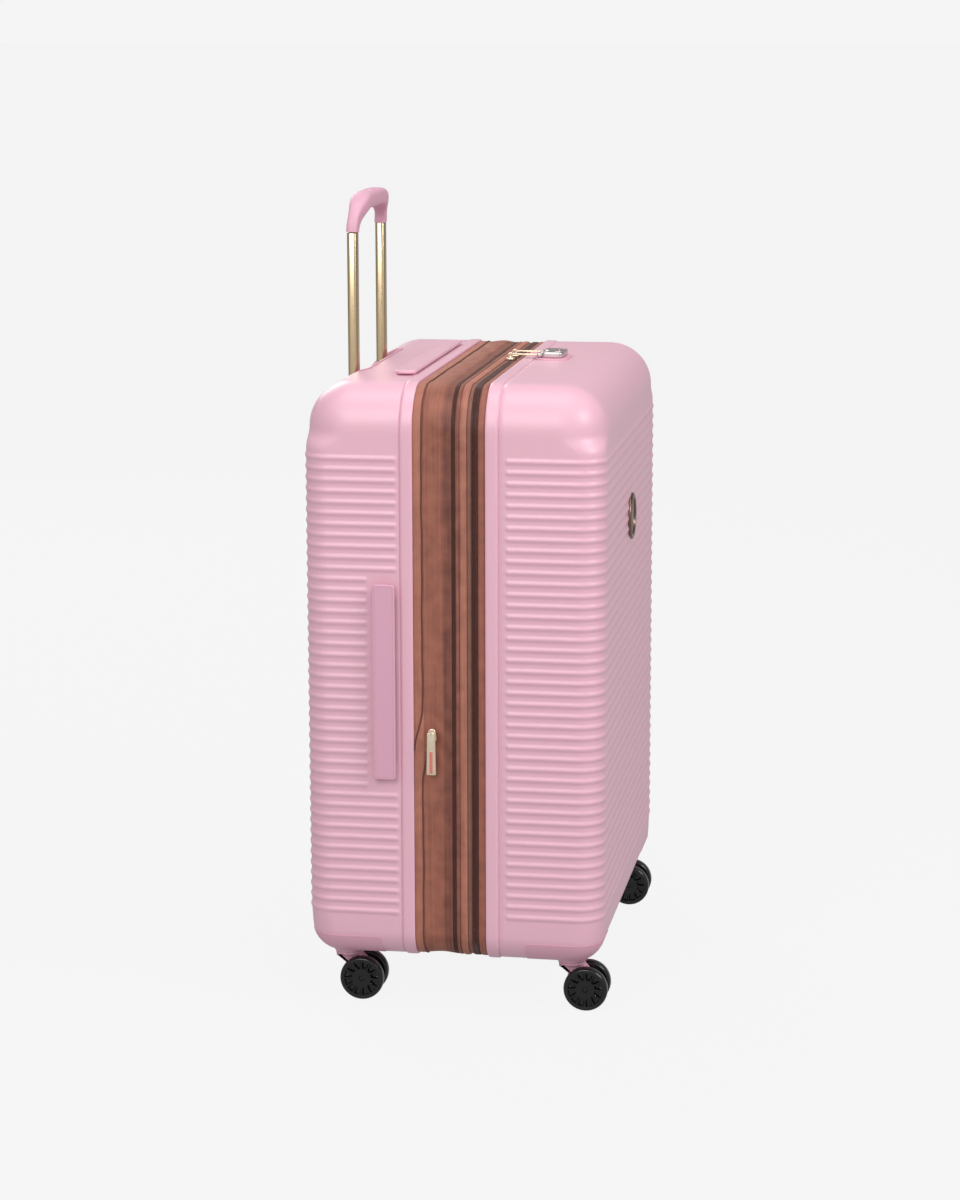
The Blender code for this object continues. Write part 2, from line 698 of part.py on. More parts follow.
def caster(corner, sign_x, sign_y, form, shell_obj):
    """A housing, a fork, an axle and twin wheels at one bottom corner."""
    x, y = sign_x * CASTER_X, sign_y * CASTER_Y
    low_x, high_x = sorted((sign_x * (HALF_W - HOUSING_L_X), sign_x * (HALF_W + 0.01)))
    low_y, high_y = sorted(
        (sign_y * (HALF_DEPTH - HOUSING_L_Y), sign_y * (HALF_DEPTH + 0.01))
    )
    housing = box(
        f"caster_housing_{corner}",
        (low_x, low_y, BASE_Z - 0.01),
        (high_x, high_y, HOUSING_TOP_Z),
        PINK_HANDLE,
    )
    boolean(housing, form, "INTERSECT")
    boss = cylinder(
        f"boss_{corner}",
        BOSS_R,
        BASE_Z + 0.006 - BOSS_Z,
        (x, y, (BASE_Z + 0.006 + BOSS_Z) / 2),
        "Z",
        PINK_HANDLE,
        sides=32,
        collection=cutters,
    )
    boolean(housing, boss, "UNION")
    pocket = box(
        f"housing_cut_{corner}",
        (low_x - GAP, low_y - GAP, BASE_Z - 0.01),
        (high_x + GAP, high_y + GAP, HOUSING_TOP_Z + GAP),
        PINK_SHELL,
        collection=cutters,
    )
    boolean(shell_obj, pocket)

    web_curve = flat_curve(f"caster_fork_{corner}", [fork_outline()], FORK_W, PINK_HANDLE)
    web_curve.matrix_world = Matrix(
        ((0, 0, 1, x), (1, 0, 0, y), (0, 1, 0, 0), (0, 0, 0, 1))
    )
    fork = as_mesh(web_curve, PINK_HANDLE)
    disc = cylinder(
        f"fork_disc_{corner}",
        FORK_DISC_R,
        FORK_DISC_Z[1] - FORK_DISC_Z[0],
        (x, y, sum(FORK_DISC_Z) / 2),
        "Z",
        PINK_HANDLE,
        sides=28,
        collection=cutters,
    )
    boolean(fork, disc, "UNION")
    axle_centre = (x, y - TRAIL, WHEEL_R)
    hole = cylinder(
        f"fork_hole_{corner}",
        AXLE_R + GAP,
        FORK_W * 2,
        axle_centre,
        "X",
        PINK_HANDLE,
        sides=16,
        collection=cutters,
    )
    boolean(fork, hole)
    cylinder(
        f"caster_axle_{corner}", AXLE_R, 2 * AXLE_HALF, axle_centre, "X", STEEL, sides=16
    )
    for side, word in ((-1, "left"), (1, "right")):
        wheel(f"wheel_{corner}_{word}", (x + side * WHEEL_SPACING / 2, y - TRAIL, WHEEL_R))


def wheel(name, centre):
    """A wheel turned about X: a rounded tread, dished sides and a bore."""
    half = WHEEL_W / 2
    bore = AXLE_R + GAP
    tread = WHEEL_R
    profile = [
        (bore, half),
        (tread * 0.36, half),
        (tread * 0.44, half - 0.0015),
        (tread * 0.74, half - 0.0015),
        (tread - 0.0040, half),
        (tread, half - 0.0030),
    ]
    profile += [(r, -w) for r, w in profile[::-1]]
    bm = bmesh.new()
    verts = [bm.verts.new((r, 0, w)) for r, w in profile]
    for first, second in zip(verts, verts[1:] + verts[:1]):
        bm.edges.new((first, second))
    mesh = bpy.data.meshes.new(name)
    bm.to_mesh(mesh)
    bm.free()
    obj = place(bpy.data.objects.new(name, mesh), BLACK_WHEEL)
    obj.location = centre
    obj.rotation_euler = (0, math.pi / 2, 0)
    turned = obj.modifiers.new("turned", "SCREW")
    turned.steps = 28
    turned.render_steps = 28
    turned.use_merge_vertices = True
    turned.merge_threshold = 0.00001
    turned.use_normal_calculate = True
    return obj


caster("back_left", -1, 1, back_form, back_shell)
caster("back_right", 1, 1, back_form, back_shell)
caster("front_left", -1, -1, front_form, front_shell)
caster("front_right", 1, -1, front_form, front_shell)


# ---------------------------------------------------------------- zips and pulls
def tab_outline(length, width):
    """A pull tab in length and width, round at the end that hangs free."""
    tip = arc((length - width / 2, 0), width / 2, 90, -90, 6)
    root = [(-TAB_T / 2, -width / 4), (-TAB_T / 2, width / 4)]
    return [*root, (0.008, width / 2), *tip, (0.008, -width / 2)]


slider_top = RING_TOP_Z + GAP + SLIDER_H
tab_axis_z = slider_top + TAB_RISE
main_tab_length = HINGE_Y - LOCK_Y[1] - TAB_TO_LOCK
for number, side in ((1, -1), (2, 1)):
    x = LOCK_X + side * SLIDER_SPREAD
    box(
        f"main_slider_{number}",
        (x - SLIDER_L / 2, HINGE_Y - SLIDER_W / 2, RING_TOP_Z + GAP),
        (x + SLIDER_L / 2, HINGE_Y + SLIDER_W / 2, slider_top),
        PALE_GOLD,
        bevel=0.001,
    )
    tab = flat_curve(
        f"main_pull_tab_{number}",
        [tab_outline(main_tab_length, MAIN_TAB_W)],
        TAB_T,
        PALE_GOLD,
    )
    tab.matrix_world = Matrix(
        ((0, 1, 0, x), (-1, 0, 0, HINGE_Y), (0, 0, 1, tab_axis_z), (0, 0, 0, 1))
    )

expander_top_x = RING_LEFT_X - GAP - SLIDER_H
expander_axis = (
    expander_top_x - TAB_RISE,
    EXPANDER_SLIDER_Y,
    EXPANDER_SLIDER_Z[1] - SLIDER_H,
)
box(
    "expander_slider",
    (expander_top_x, EXPANDER_SLIDER_Y - SLIDER_W / 2, EXPANDER_SLIDER_Z[0]),
    (RING_LEFT_X - GAP, EXPANDER_SLIDER_Y + SLIDER_W / 2, EXPANDER_SLIDER_Z[1]),
    PALE_GOLD,
    bevel=0.001,
)
expander_tab = flat_curve(
    "expander_pull_tab",
    [tab_outline(EXPANDER_TAB_L, EXPANDER_TAB_W)],
    TAB_T,
    PALE_GOLD,
)
expander_tab.matrix_world = Matrix(
    (
        (0, 0, -1, expander_axis[0]),
        (0, 1, 0, expander_axis[1]),
        (-1, 0, 0, expander_axis[2]),
        (0, 0, 0, 1),
    )
)

# ------------------------------------------------------------------------- lock
base_low_z = TOP_Z + GAP
lock_low_z = base_low_z + LOCK_BASE_H + GAP
lock_top_z = lock_low_z + LOCK_H
lock_mid_y = sum(LOCK_Y) / 2
box(
    "lock_base",
    (LOCK_X - LOCK_HALF_X - LOCK_BASE_MARGIN, LOCK_Y[0] - LOCK_BASE_MARGIN, base_low_z),
    (
        LOCK_X + LOCK_HALF_X + LOCK_BASE_MARGIN,
        LOCK_Y[1] + LOCK_BASE_MARGIN,
        base_low_z + LOCK_BASE_H,
    ),
    PINK_HANDLE,
)
lock_body = box(
    "lock_body",
    (LOCK_X - LOCK_HALF_X, LOCK_Y[0], lock_low_z),
    (LOCK_X + LOCK_HALF_X, LOCK_Y[1], lock_top_z),
    CHROME,
    bevel=0.0015,
)
dial_y = lock_mid_y - 0.006
dial_z = lock_top_z - DIAL_R + 0.0004
for number in (1, 2, 3):
    centre = (LOCK_X + (number - 2) * DIAL_PITCH, dial_y, dial_z)
    cylinder(f"lock_dial_{number}", DIAL_R, DIAL_W, centre, "X", CHROME, sides=20)
    dial_room = cylinder(
        f"dial_room_{number}",
        DIAL_R + DIAL_PLAY,
        DIAL_W + 2 * GAP,
        centre,
        "X",
        CHROME,
        sides=20,
        collection=cutters,
    )
    boolean(lock_body, dial_room)
button_y = lock_mid_y + 0.0075
half_x, half_y = LOCK_BUTTON[0] / 2, LOCK_BUTTON[1] / 2
lock_button_top = lock_top_z + LOCK_BUTTON_PROUD
box(
    "lock_button",
    (LOCK_X - half_x, button_y - half_y, lock_button_top - LOCK_BUTTON[2]),
    (LOCK_X + half_x, button_y + half_y, lock_button_top),
    CHROME,
    bevel=0.0006,
)
lock_button_room = box(
    "lock_button_room",
    (LOCK_X - half_x - GAP, button_y - half_y - GAP, lock_low_z + 0.0008),
    (LOCK_X + half_x + GAP, button_y + half_y + GAP, lock_top_z + 0.01),
    CHROME,
    collection=cutters,
)
boolean(lock_body, lock_button_room)

# ------------------------------------------------------------------------ badge
badge_y = -HALF_DEPTH - GAP - BADGE_T / 2
badge_z = TOP_Z - BADGE_DOWN
cylinder("front_badge", BADGE_R, BADGE_T, (0, badge_y, badge_z), "Y", CHROME, sides=40)
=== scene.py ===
# %% [markdown]
# # A hard shell suitcase on four twin wheels
# The real thing is two thin moulded half shells, a cloth gusset that lets the
# case grow, three zips, two carry handles, a pull-out trolley handle and four
# casters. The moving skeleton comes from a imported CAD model, which stays where
# it is. Each cell below makes one visible piece round that skeleton, mostly
# from numpy grids, because a moulded or swept shape is a short formula.

# %% Load the fixed frame
import math

import bmesh
import bpy
import numpy as np
from mathutils import Matrix, Vector


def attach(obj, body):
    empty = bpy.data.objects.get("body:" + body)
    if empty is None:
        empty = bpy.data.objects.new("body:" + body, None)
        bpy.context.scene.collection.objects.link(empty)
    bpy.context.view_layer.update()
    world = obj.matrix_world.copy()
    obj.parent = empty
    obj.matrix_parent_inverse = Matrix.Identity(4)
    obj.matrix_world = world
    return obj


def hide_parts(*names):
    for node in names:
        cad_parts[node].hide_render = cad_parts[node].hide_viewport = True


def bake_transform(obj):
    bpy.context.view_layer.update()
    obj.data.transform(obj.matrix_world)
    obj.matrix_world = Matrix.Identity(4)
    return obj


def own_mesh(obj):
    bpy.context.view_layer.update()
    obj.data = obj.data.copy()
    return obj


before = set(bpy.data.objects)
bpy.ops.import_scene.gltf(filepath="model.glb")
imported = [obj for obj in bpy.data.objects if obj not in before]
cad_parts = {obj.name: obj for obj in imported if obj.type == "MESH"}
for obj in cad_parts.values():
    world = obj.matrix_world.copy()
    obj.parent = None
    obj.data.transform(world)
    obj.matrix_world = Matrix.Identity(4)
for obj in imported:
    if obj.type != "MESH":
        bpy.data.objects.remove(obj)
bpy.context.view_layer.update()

# %% [markdown]
# ## From a grid of points to a closed piece
# Nearly every part is a table of points: rows along the part, columns round it.
# Neighbouring rows and columns make four-sided faces. Doubled points are then
# merged, which closes seams and poles, and the faces are turned outwards.

# %% Helpers that turn grids into pieces
MERGE = 2e-6


def cells(rows, cols, wrap=False, start=0):
    """Four corner numbers of every cell of a rows x cols table, joined round if wrap."""
    table = start + np.arange(rows * cols).reshape(rows, cols)
    if wrap:
        table = np.concatenate([table, table[:, :1]], 1)
    a, b = table[:-1, :-1], table[:-1, 1:]
    c, d = table[1:, 1:], table[1:, :-1]
    return np.stack([a, b, c, d], -1).reshape(-1, 4)


def tube(sections):
    """Closed body through (m, n, 3) closed sections: walls, and a fan at each end
    from the mean point of the end section."""
    sections = np.asarray(sections, float)
    m, n, _ = sections.shape
    ends = sections[[0, -1]].mean(1)[:, None].repeat(n, 1)
    every = np.concatenate([ends[:1], sections, ends[1:]])
    return every.reshape(-1, 3), cells(m + 2, n, True)


def torus(sections):
    """Closed body whose last section meets its first again."""
    sections = np.asarray(sections, float)
    m, n, _ = sections.shape
    every = np.concatenate([sections, sections[:1]])
    return every.reshape(-1, 3), cells(m + 1, n, True)


def add_object(name, data):
    """New object at the origin that holds the data, in the scene's collection."""
    made = bpy.data.objects.new(name, data)
    bpy.context.scene.collection.objects.link(made)
    return made


def joined(parts):
    """Points and faces of several bodies as one list of each."""
    points, faces, start = [], [], 0
    for p, f in parts:
        points.append(p)
        faces.append(f + start)
        start += len(p)
    return np.concatenate(points), np.concatenate(faces)


def piece(name, parts, paint, body=None, replaces=(), sharp=38, uv=None):
    """Mesh object at the origin from bodies in metres, merged, turned outwards, smooth
    but for edges sharper than the given angle; uv is one pair per point."""
    points, faces = joined(parts)
    mesh = bpy.data.meshes.new(name)
    mesh.from_pydata(points, [], faces.tolist())
    if uv is not None:
        layer = mesh.uv_layers.new(name="UVMap")
        layer.data.foreach_set("uv", np.asarray(uv, float)[faces.ravel()].ravel())
    work = bmesh.new()
    work.from_mesh(mesh)
    bmesh.ops.remove_doubles(work, verts=work.verts, dist=MERGE)
    bmesh.ops.dissolve_degenerate(work, edges=work.edges, dist=MERGE / 10)
    bmesh.ops.recalc_face_normals(work, faces=work.faces)
    work.to_mesh(mesh)
    work.free()
    mesh.shade_smooth()
    mesh.set_sharp_from_angle(angle=math.radians(sharp))
    mesh.materials.append(paint)
    thing = add_object(name, mesh)
    if replaces:
        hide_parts(*replaces)
    if body:
        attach(thing, body)
    print(name, len(mesh.polygons), "faces")
    return thing


# %% [markdown]
# ## Outlines and the three ways to give them depth
# A moulded plate is an outline repeated at several heights, drawn in a little
# near its faces so that its edges are round. A turned part is a profile carried
# round an axis, and a bent part is a section carried along a path.

# %% Outlines, plates, turned and swept bodies
def smooth(t):
    """0 below 0, 1 above 1, and 3t^2 - 2t^3 between them."""
    t = np.clip(t, 0, 1)
    return t * t * (3 - 2 * t)


def squarer(value, power):
    """Sine or cosine whose size is raised to a power below 1, which turns a circle
    into a rounded square."""
    return np.sign(value) * np.abs(value) ** power


def unit(vectors):
    """Rows of vectors, each divided by its own length."""
    return vectors / np.linalg.norm(vectors, axis=1)[:, None]


def with_normals(line):
    """A closed outline with its unit normals, each at right angles to the line
    between the two neighbours."""
    along = np.roll(line, -1, 0) - np.roll(line, 1, 0)
    return line, unit(np.stack([along[:, 1], -along[:, 0]], 1))


def rounded_box(wide, high, r, n=7):
    """Outline of a box with round corners: quarter circles of radius r at the four
    corner centres. Returns the points and the unit normals."""
    a = np.radians(np.linspace(0, 90, n)[None] + 90 * np.arange(4)[:, None]).ravel()
    normal = np.stack([np.cos(a), np.sin(a)], 1)
    side = np.repeat([[1, 1], [-1, 1], [-1, -1], [1, -1]], n, 0)
    return side * [wide / 2 - r, high / 2 - r] + r * normal, normal


def place(abc, axes, centre=(0, 0, 0)):
    """Points given as (a, b, c) along the named world axes, moved to centre."""
    out = np.empty_like(abc)
    for i, axis in enumerate(axes):
        out[..., "xyz".index(axis)] = abc[..., i]
    return out + np.asarray(centre)


def plate(outline, steps, axes="xyz", centre=(0, 0, 0), hollow=False):
    """Outline drawn in along its normals by each step's first number at the height
    of its second: point = outline - inset * normal. The steps of a hollow one go
    down its inner wall again, so that its last section meets its first."""
    points, normal = outline
    steps = np.asarray(steps, float)
    flat = points[None] - steps[:, :1, None] * normal[None]
    high = np.broadcast_to(steps[:, 1:, None], flat.shape[:2] + (1,))
    sections = place(np.concatenate([flat, high], -1), axes, centre)
    return (torus if hollow else tube)(sections)


def soft_edge(low, high, r, n=4):
    """Steps of a plate from low to high whose edges are quarter circles of radius r."""
    a = np.linspace(0, math.pi / 2, n)
    up = np.stack([r * (1 - np.sin(a)), low + r * (1 - np.cos(a))], 1)
    down = np.stack([up[::-1, 0], low + high - up[::-1, 1]], 1)
    return np.concatenate([up, down])


def turned(profile, n, axes, centre, closed=False):
    """Profile of (radius, height) pairs carried round the third axis."""
    profile = np.asarray(profile, float)
    a = np.linspace(0, 2 * math.pi, n, endpoint=False)
    r, h = profile[:, :1], profile[:, 1:]
    abc = np.stack([r * np.cos(a), r * np.sin(a), h + 0 * a], -1)
    return (torus if closed else tube)(place(abc, axes, centre))


def swept(path, across, up, section):
    """Section points (a, b) carried along a path: path + a * across + b * up, where
    section is (n, 2), or (m, n, 2) to change along the path."""
    section = np.asarray(section, float)
    if section.ndim == 2:
        section = np.broadcast_to(section, (len(path),) + section.shape)
    body = path[:, None] + section[..., :1] * across[:, None]
    return body + section[..., 1:] * up[:, None]


# %% [markdown]
# ## Finishes
# Moulded plastic is never one flat colour: it has a fine grain, a faint cloudy
# tone and small changes in gloss. One helper builds that from two noise
# patterns measured in metres on the object, so the grain has its real size.

# %% Paint for plastic and metal
def linear(red, green, blue):
    """Screen colour, 0 to 255, as the linear light that a shader works in."""
    c = np.array([red, green, blue]) / 255
    return (*np.where(c > 0.04045, ((c + 0.055) / 1.055) ** 2.4, c / 12.92), 1.0)


def node(tree, kind, **given):
    """New shader node; given sockets get a value, or a link from another socket."""
    made = tree.nodes.new("ShaderNode" + kind)
    for key, value in given.items():
        key = key.replace("_", " ")
        if key in made.inputs:
            if isinstance(value, bpy.types.NodeSocket):
                tree.links.new(value, made.inputs[key])
            else:
                made.inputs[key].default_value = value
        else:
            setattr(made, key.replace(" ", "_"), value)
    return made


def new_paint(name):
    """Empty node material, with its tree and its Principled shader."""
    made = bpy.data.materials.new(name)
    made.use_nodes = True
    return made, made.node_tree, made.node_tree.nodes["Principled BSDF"]


def two_tones(tree, factor, first, second):
    """Colour that runs from the first tone to the second with a changing factor."""
    mix = tree.nodes.new("ShaderNodeMix")
    mix.data_type = "RGBA"
    tree.links.new(factor, mix.inputs["Factor"])
    mix.inputs["A"].default_value, mix.inputs["B"].default_value = first, second
    return mix.outputs["Result"]


def plastic(name, rgb, rough, grain=1500, depth=0.00004, cloud=0.05, metal=0.0,
            stretch=(1, 1, 1), wear=0.06, **shader):
    """Grained finish: noise of the given grain per metre drives bump and gloss, and
    a broad noise moves the colour by the cloud share either way."""
    made, tree, skin = new_paint(name)
    where = node(tree, "TexCoord").outputs["Object"]
    sized = node(tree, "Mapping", Vector=where, Scale=stretch).outputs["Vector"]
    fine = node(tree, "TexNoise", Vector=sized, Scale=grain, Detail=3.0)
    broad = node(tree, "TexNoise", Vector=where, Scale=9.0, Detail=4.0)
    bump = node(tree, "Bump", Height=fine.outputs["Fac"], Distance=depth, Strength=0.6)
    tree.links.new(bump.outputs["Normal"], skin.inputs["Normal"])
    base = np.array(linear(*rgb))
    low, high = base * (1 - cloud), np.minimum(base * (1 + cloud), 1)
    tone = two_tones(tree, broad.outputs["Fac"], low, high)
    tree.links.new(tone, skin.inputs["Base Color"])
    gloss = node(tree, "MapRange", Value=fine.outputs["Fac"])
    gloss.inputs["To Min"].default_value = rough - wear
    gloss.inputs["To Max"].default_value = rough + wear
    tree.links.new(gloss.outputs["Result"], skin.inputs["Roughness"])
    skin.inputs["Metallic"].default_value = metal
    for key, value in shader.items():
        skin.inputs[key.replace("_", " ")].default_value = value
    return made


SHELL_PINK = plastic("satin_pink_shell", (224, 175, 191), 0.38, cloud=0.02,
                     Coat_Weight=0.15, Coat_Roughness=0.30, Specular_IOR_Level=0.38)
TRIM_PINK = plastic("dusky_pink_trim", (216, 162, 180), 0.46, cloud=0.03)
HANDLE_PINK = plastic("matt_pink_handle", (212, 160, 180), 0.50, cloud=0.02)
GOLD = plastic("pale_gold_tube", (205, 182, 146), 0.20, grain=1600, metal=1.0,
               depth=0.0, wear=0.0, cloud=0.03)
PULL_GOLD = plastic("champagne_cast", (240, 222, 196), 0.28, metal=0.75, grain=2500)
BRONZE = plastic("dark_bronze", (132, 106, 96), 0.24, metal=1.0, grain=2500)
CHROME = plastic("bright_chrome", (205, 198, 196), 0.30, metal=1.0, grain=2500,
                 depth=0.00002, wear=0.04)
BLACK = plastic("black_wheel_plastic", (13, 12, 13), 0.20, cloud=0.15)
RUBBER = plastic("black_tyre", (11, 10, 11), 0.28, cloud=0.15)
ALLOY = plastic("brushed_channel_alloy", (176, 178, 180), 0.36, metal=1.0,
                stretch=(1, 1, 0.02))
GREY = plastic("grey_moulding", (124, 120, 124), 0.5)
STEEL = plastic("blackened_steel", (44, 42, 44), 0.35, metal=0.6)
# Dark pink for the printed figures on the number wheels, and for painted shade in the
# lock's window and keyhole.
PRINT_AND_SHADE_DARK = plastic("dark_print_and_painted_shade", (84, 50, 58), 0.6)
RED = plastic("coral_enamel", (214, 118, 106), 0.25, Coat_Weight=0.4)
print("finishes", len(bpy.data.materials))

# %% [markdown]
# ## The half shells
# Each half is vacuum formed: a tray 2.5 mm thick with ribs pressed into it. A
# level cut through it is a U, so the grid's columns follow that U from one rim
# to the other and its rows climb from the floor to the lid. At the top and the
# bottom the U shrinks by r (1 - cos t) while it rises by r sin t, which rolls
# the edge over, and the flat ends are filled by pulling the U back to the rim.

# %% Grid of a half shell
EDGE_R, FOOT_R = 0.050, 0.034
UPRIGHT_R = 0.029
LOW, HIGH = 0.058, 0.705
OUTER_W = 0.2493
WALL = 0.0025
CORNER_STEPS = 10
FACE_STEPS = 9
RIB_TOP, RIB_PITCH, RIBS = 0.6255, 0.0122, 43
ROWS_PER_RIB = 12


def climb():
    """Rows as (roll angle t, height of the roll's centre): the rolled bottom edge,
    the straight sides with even rows through the ribs, and the rolled top edge."""
    foot, head = LOW + FOOT_R, HIGH - EDGE_R
    rib_z = RIB_TOP + RIB_PITCH / 2 - np.arange(RIBS * ROWS_PER_RIB + 1) * (
        RIB_PITCH / ROWS_PER_RIB)
    rib_z = rib_z[::-1]
    t = np.concatenate([
        np.linspace(-math.pi / 2, 0, 19)[:-1], np.zeros(len(rib_z) + 6),
        np.linspace(0, math.pi / 2, 15),
    ])
    centre = np.concatenate([
        np.full(18, foot), rib_z,
        np.linspace(rib_z[-1], head, 8)[1:-1], np.full(15, head),
    ])
    return t, centre


print("rows of a shell", len(climb()[0]))

# %% [markdown]
# One row of the grid is a U seen from above. Its points and its normals come
# together, because the ribs and the rim are pressed out along the normals.

# %% Rows of a half shell
def shell_grid(inset, depth, side, arc_n):
    """Points, unit normals and depth from the rim of a half shell drawn in by inset.
    A row's U has half width w and depth d less r (1 - cos t), and its upright corners
    grow from the small radius to the edge radius where the top and bottom roll."""
    t, centre = climb()
    r_edge = np.where(t < 0, FOOT_R, EDGE_R) - inset
    drop = r_edge * (1 - np.cos(t))
    grow = smooth((centre - 0.634) / 0.020)
    upright = UPRIGHT_R + (EDGE_R - UPRIGHT_R) * grow - inset
    upright += (FOOT_R - UPRIGHT_R) * smooth((0.100 - centre) / 0.008)
    r = np.minimum(upright, r_edge - drop)
    clamp = np.full(len(t), 1.0)
    flat = np.array(side[:-1])
    t = np.concatenate([np.full(len(flat), -math.pi / 2), t,
                        np.full(len(flat), math.pi / 2)])
    centre = np.concatenate([np.full(len(flat), centre[0]), centre,
                             np.full(len(flat), centre[-1])])
    drop, r_edge = (np.pad(v, len(flat), mode="edge") for v in (drop, r_edge))
    r = np.pad(r, len(flat))
    clamp = np.concatenate([flat, clamp, flat[::-1]])
    w = (OUTER_W - inset - drop)[:, None]
    d = (depth - inset - drop)[:, None]
    r = r[:, None]
    a = np.linspace(0, math.pi / 2, arc_n)[None]
    f = np.linspace(-1, 1, FACE_STEPS + 2)[None, 1:-1]
    one = np.ones((len(t), 1))
    side = np.array(side)[None]
    x = np.concatenate([-w * np.ones_like(side), -(w - r + r * np.cos(a)),
                        f * (w - r)], 1)
    y = np.concatenate([one * side, d - r + r * np.sin(a), d * np.ones_like(f)], 1)
    nx = np.concatenate([-one * np.ones_like(side), -one * np.cos(a), 0 * one * f], 1)
    ny = np.concatenate([0 * one * side, one * np.sin(a), one * np.ones_like(f)], 1)
    n_left = side.shape[1] + arc_n
    mirror = slice(n_left - 1, None, -1)
    x = np.concatenate([x, -x[:, mirror]], 1)
    y = np.concatenate([y, y[:, mirror]], 1)
    nx = np.concatenate([nx, -nx[:, mirror]], 1)
    ny = np.concatenate([ny, ny[:, mirror]], 1)
    y = np.minimum(y, clamp[:, None])
    z = (centre + r_edge * np.sin(t))[:, None] + 0 * x
    tilt = np.cos(t)[:, None]
    normal = np.stack([nx * tilt, ny * tilt, np.sin(t)[:, None] + 0 * x], -1)
    return np.stack([x, y, z], -1), normal, len(flat), n_left


def rim_loop(table, flat, n_left):
    """Corner numbers once round the open rim: left rows up, top, right rows, bottom."""
    face = slice(n_left, n_left + FACE_STEPS)
    rows = slice(flat, len(table) - flat)
    return np.concatenate([table[rows, 0], table[-1, face], table[rows, -1][::-1],
                           table[0, face][::-1]])


# %% [markdown]
# ## Ribs, rim and short ribs
# The ribs are pressed 1.3 mm out of the wall. Each is a raised cosine bump that
# fades out over 5 mm before the rim, and some stop early to leave a plain panel
# for the side handle. The rim is a low crowned band that stiffens the opening,
# with a shallow groove beside it.

# %% Relief pressed into the shells
RIB_H, RIB_HALF, RIB_FADE = 0.0013, 0.0046, 0.005
RIM_BAND, RIM_H = 0.0133, 0.0012
HANDLE_FIELD = (0.257, 0.499)


def relief(points, rib_from, short_from=None):
    """Height above the wall: H (1 + cos(pi dz / half)) / 2 for each rib, faded from
    its start, plus a crowned band H sqrt(1 - u^6) along the rim, a low lip at its
    edge, and a V groove 1 mm deep behind it."""
    x, d, z = np.moveaxis(points, -1, 0)
    number = np.clip(np.round((RIB_TOP - z) / RIB_PITCH), 0, RIBS - 1)
    mid = RIB_TOP - number * RIB_PITCH
    off = np.clip(np.abs(z - mid) / RIB_HALF, 0, 1)
    start = np.full(x.shape, rib_from)
    if short_from is not None:
        beside_handle = (x < 0) & (mid > HANDLE_FIELD[0]) & (mid < HANDLE_FIELD[1])
        start[beside_handle] = short_from
    ribs = RIB_H * (1 + np.cos(math.pi * off)) / 2 * smooth((d - start) / RIB_FADE)
    u = np.abs(d / RIM_BAND * 2 - 1)
    band = RIM_H * np.clip(1 - u ** 6, 0, 1) ** 0.5 * (d < RIM_BAND)
    lip = RIM_H * 0.35 * (d < RIM_BAND / 2)
    groove = -0.0010 * np.clip(1 - np.abs(d - RIM_BAND - 0.0011) / 0.0009, 0, 1)
    return ribs + np.maximum(band, lip) + groove


print("ribs", RIBS, "from", RIB_TOP, "down to", round(RIB_TOP - (RIBS - 1) * RIB_PITCH, 4))

# %% [markdown]
# A half shell is two such grids, the outer one with relief and a plain inner
# one, joined by a strip round the rim. That gives the wall its real thickness.

# %% Both half shells
def half_shell(name, rim_y, way, depth, rib_from, short_from, body, replaces):
    """Outer grid with relief, a plain inner grid 2.5 mm inside, and a strip between
    their rims. Depth runs from rim_y towards the way (+1 back, -1 front)."""
    end = depth - EDGE_R
    rim = [0, .0003, .0008, .0018, .0035, .0067, .0098, .0115, .0125, .0130, .0133,
           .0139, .0144, .0149, .0155]
    fade = np.array([0.0006, .0015, .0025, .0035, .0045, .0055, .0065])
    side = np.concatenate([rim, rib_from + fade] + (
        [] if short_from is None else [short_from + fade]) + [
        np.arange(rib_from + 0.012, end - 0.004, 0.008), [end]])
    side = np.unique(np.round(side, 5))
    outer, normal, flat, n_left = shell_grid(0.0, depth, side, CORNER_STEPS)
    outer = outer + normal * relief(outer, rib_from, short_from)[..., None]
    inner, _, flat_in, n_in = shell_grid(WALL, depth, [0, .02, end], 6)
    rows, cols = outer.shape[:2]
    rows_in, cols_in = inner.shape[:2]
    out_table = np.arange(rows * cols).reshape(rows, cols)
    in_table = rows * cols + np.arange(rows_in * cols_in).reshape(rows_in, cols_in)
    a, b = rim_loop(out_table, flat, n_left), rim_loop(in_table, flat_in, n_in)
    strip = np.stack([a, np.roll(a, -1), np.roll(b, -1), b], -1)
    points = np.concatenate([outer.reshape(-1, 3), inner.reshape(-1, 3)])
    points[:, 1] = rim_y + way * points[:, 1]
    faces = np.concatenate([cells(rows, cols), cells(rows_in, cols_in, start=rows * cols),
                            strip])
    return piece(name, [(points, faces)], SHELL_PINK, body, replaces, 60)


BACK_RIM, FRONT_RIM, HALF_DEPTH = 0.0433, -0.0372, 0.1665
back_half = half_shell("back_half_shell", BACK_RIM, 1, HALF_DEPTH - BACK_RIM,
                       0.0157, 0.0493, "back_case", ["back_shell"])
front_half = half_shell("front_half_shell", FRONT_RIM, -1, HALF_DEPTH + FRONT_RIM,
                        0.0205, None, "lid", ["front_shell"])

# %% [markdown]
# ## Cloth
# The gusset is a tight copper twill. Its threads follow the strip, so the
# pattern reads the piece's own UV map, which is laid out in metres: two crossed
# waves half a millimetre apart make the weave, and slow noise makes the sheen of
# the cloth uneven, as on the real strip.

# %% Woven cloth
SLANT = 0.35
THREAD_DEPTH = 0.00012
DARKER = 0.38


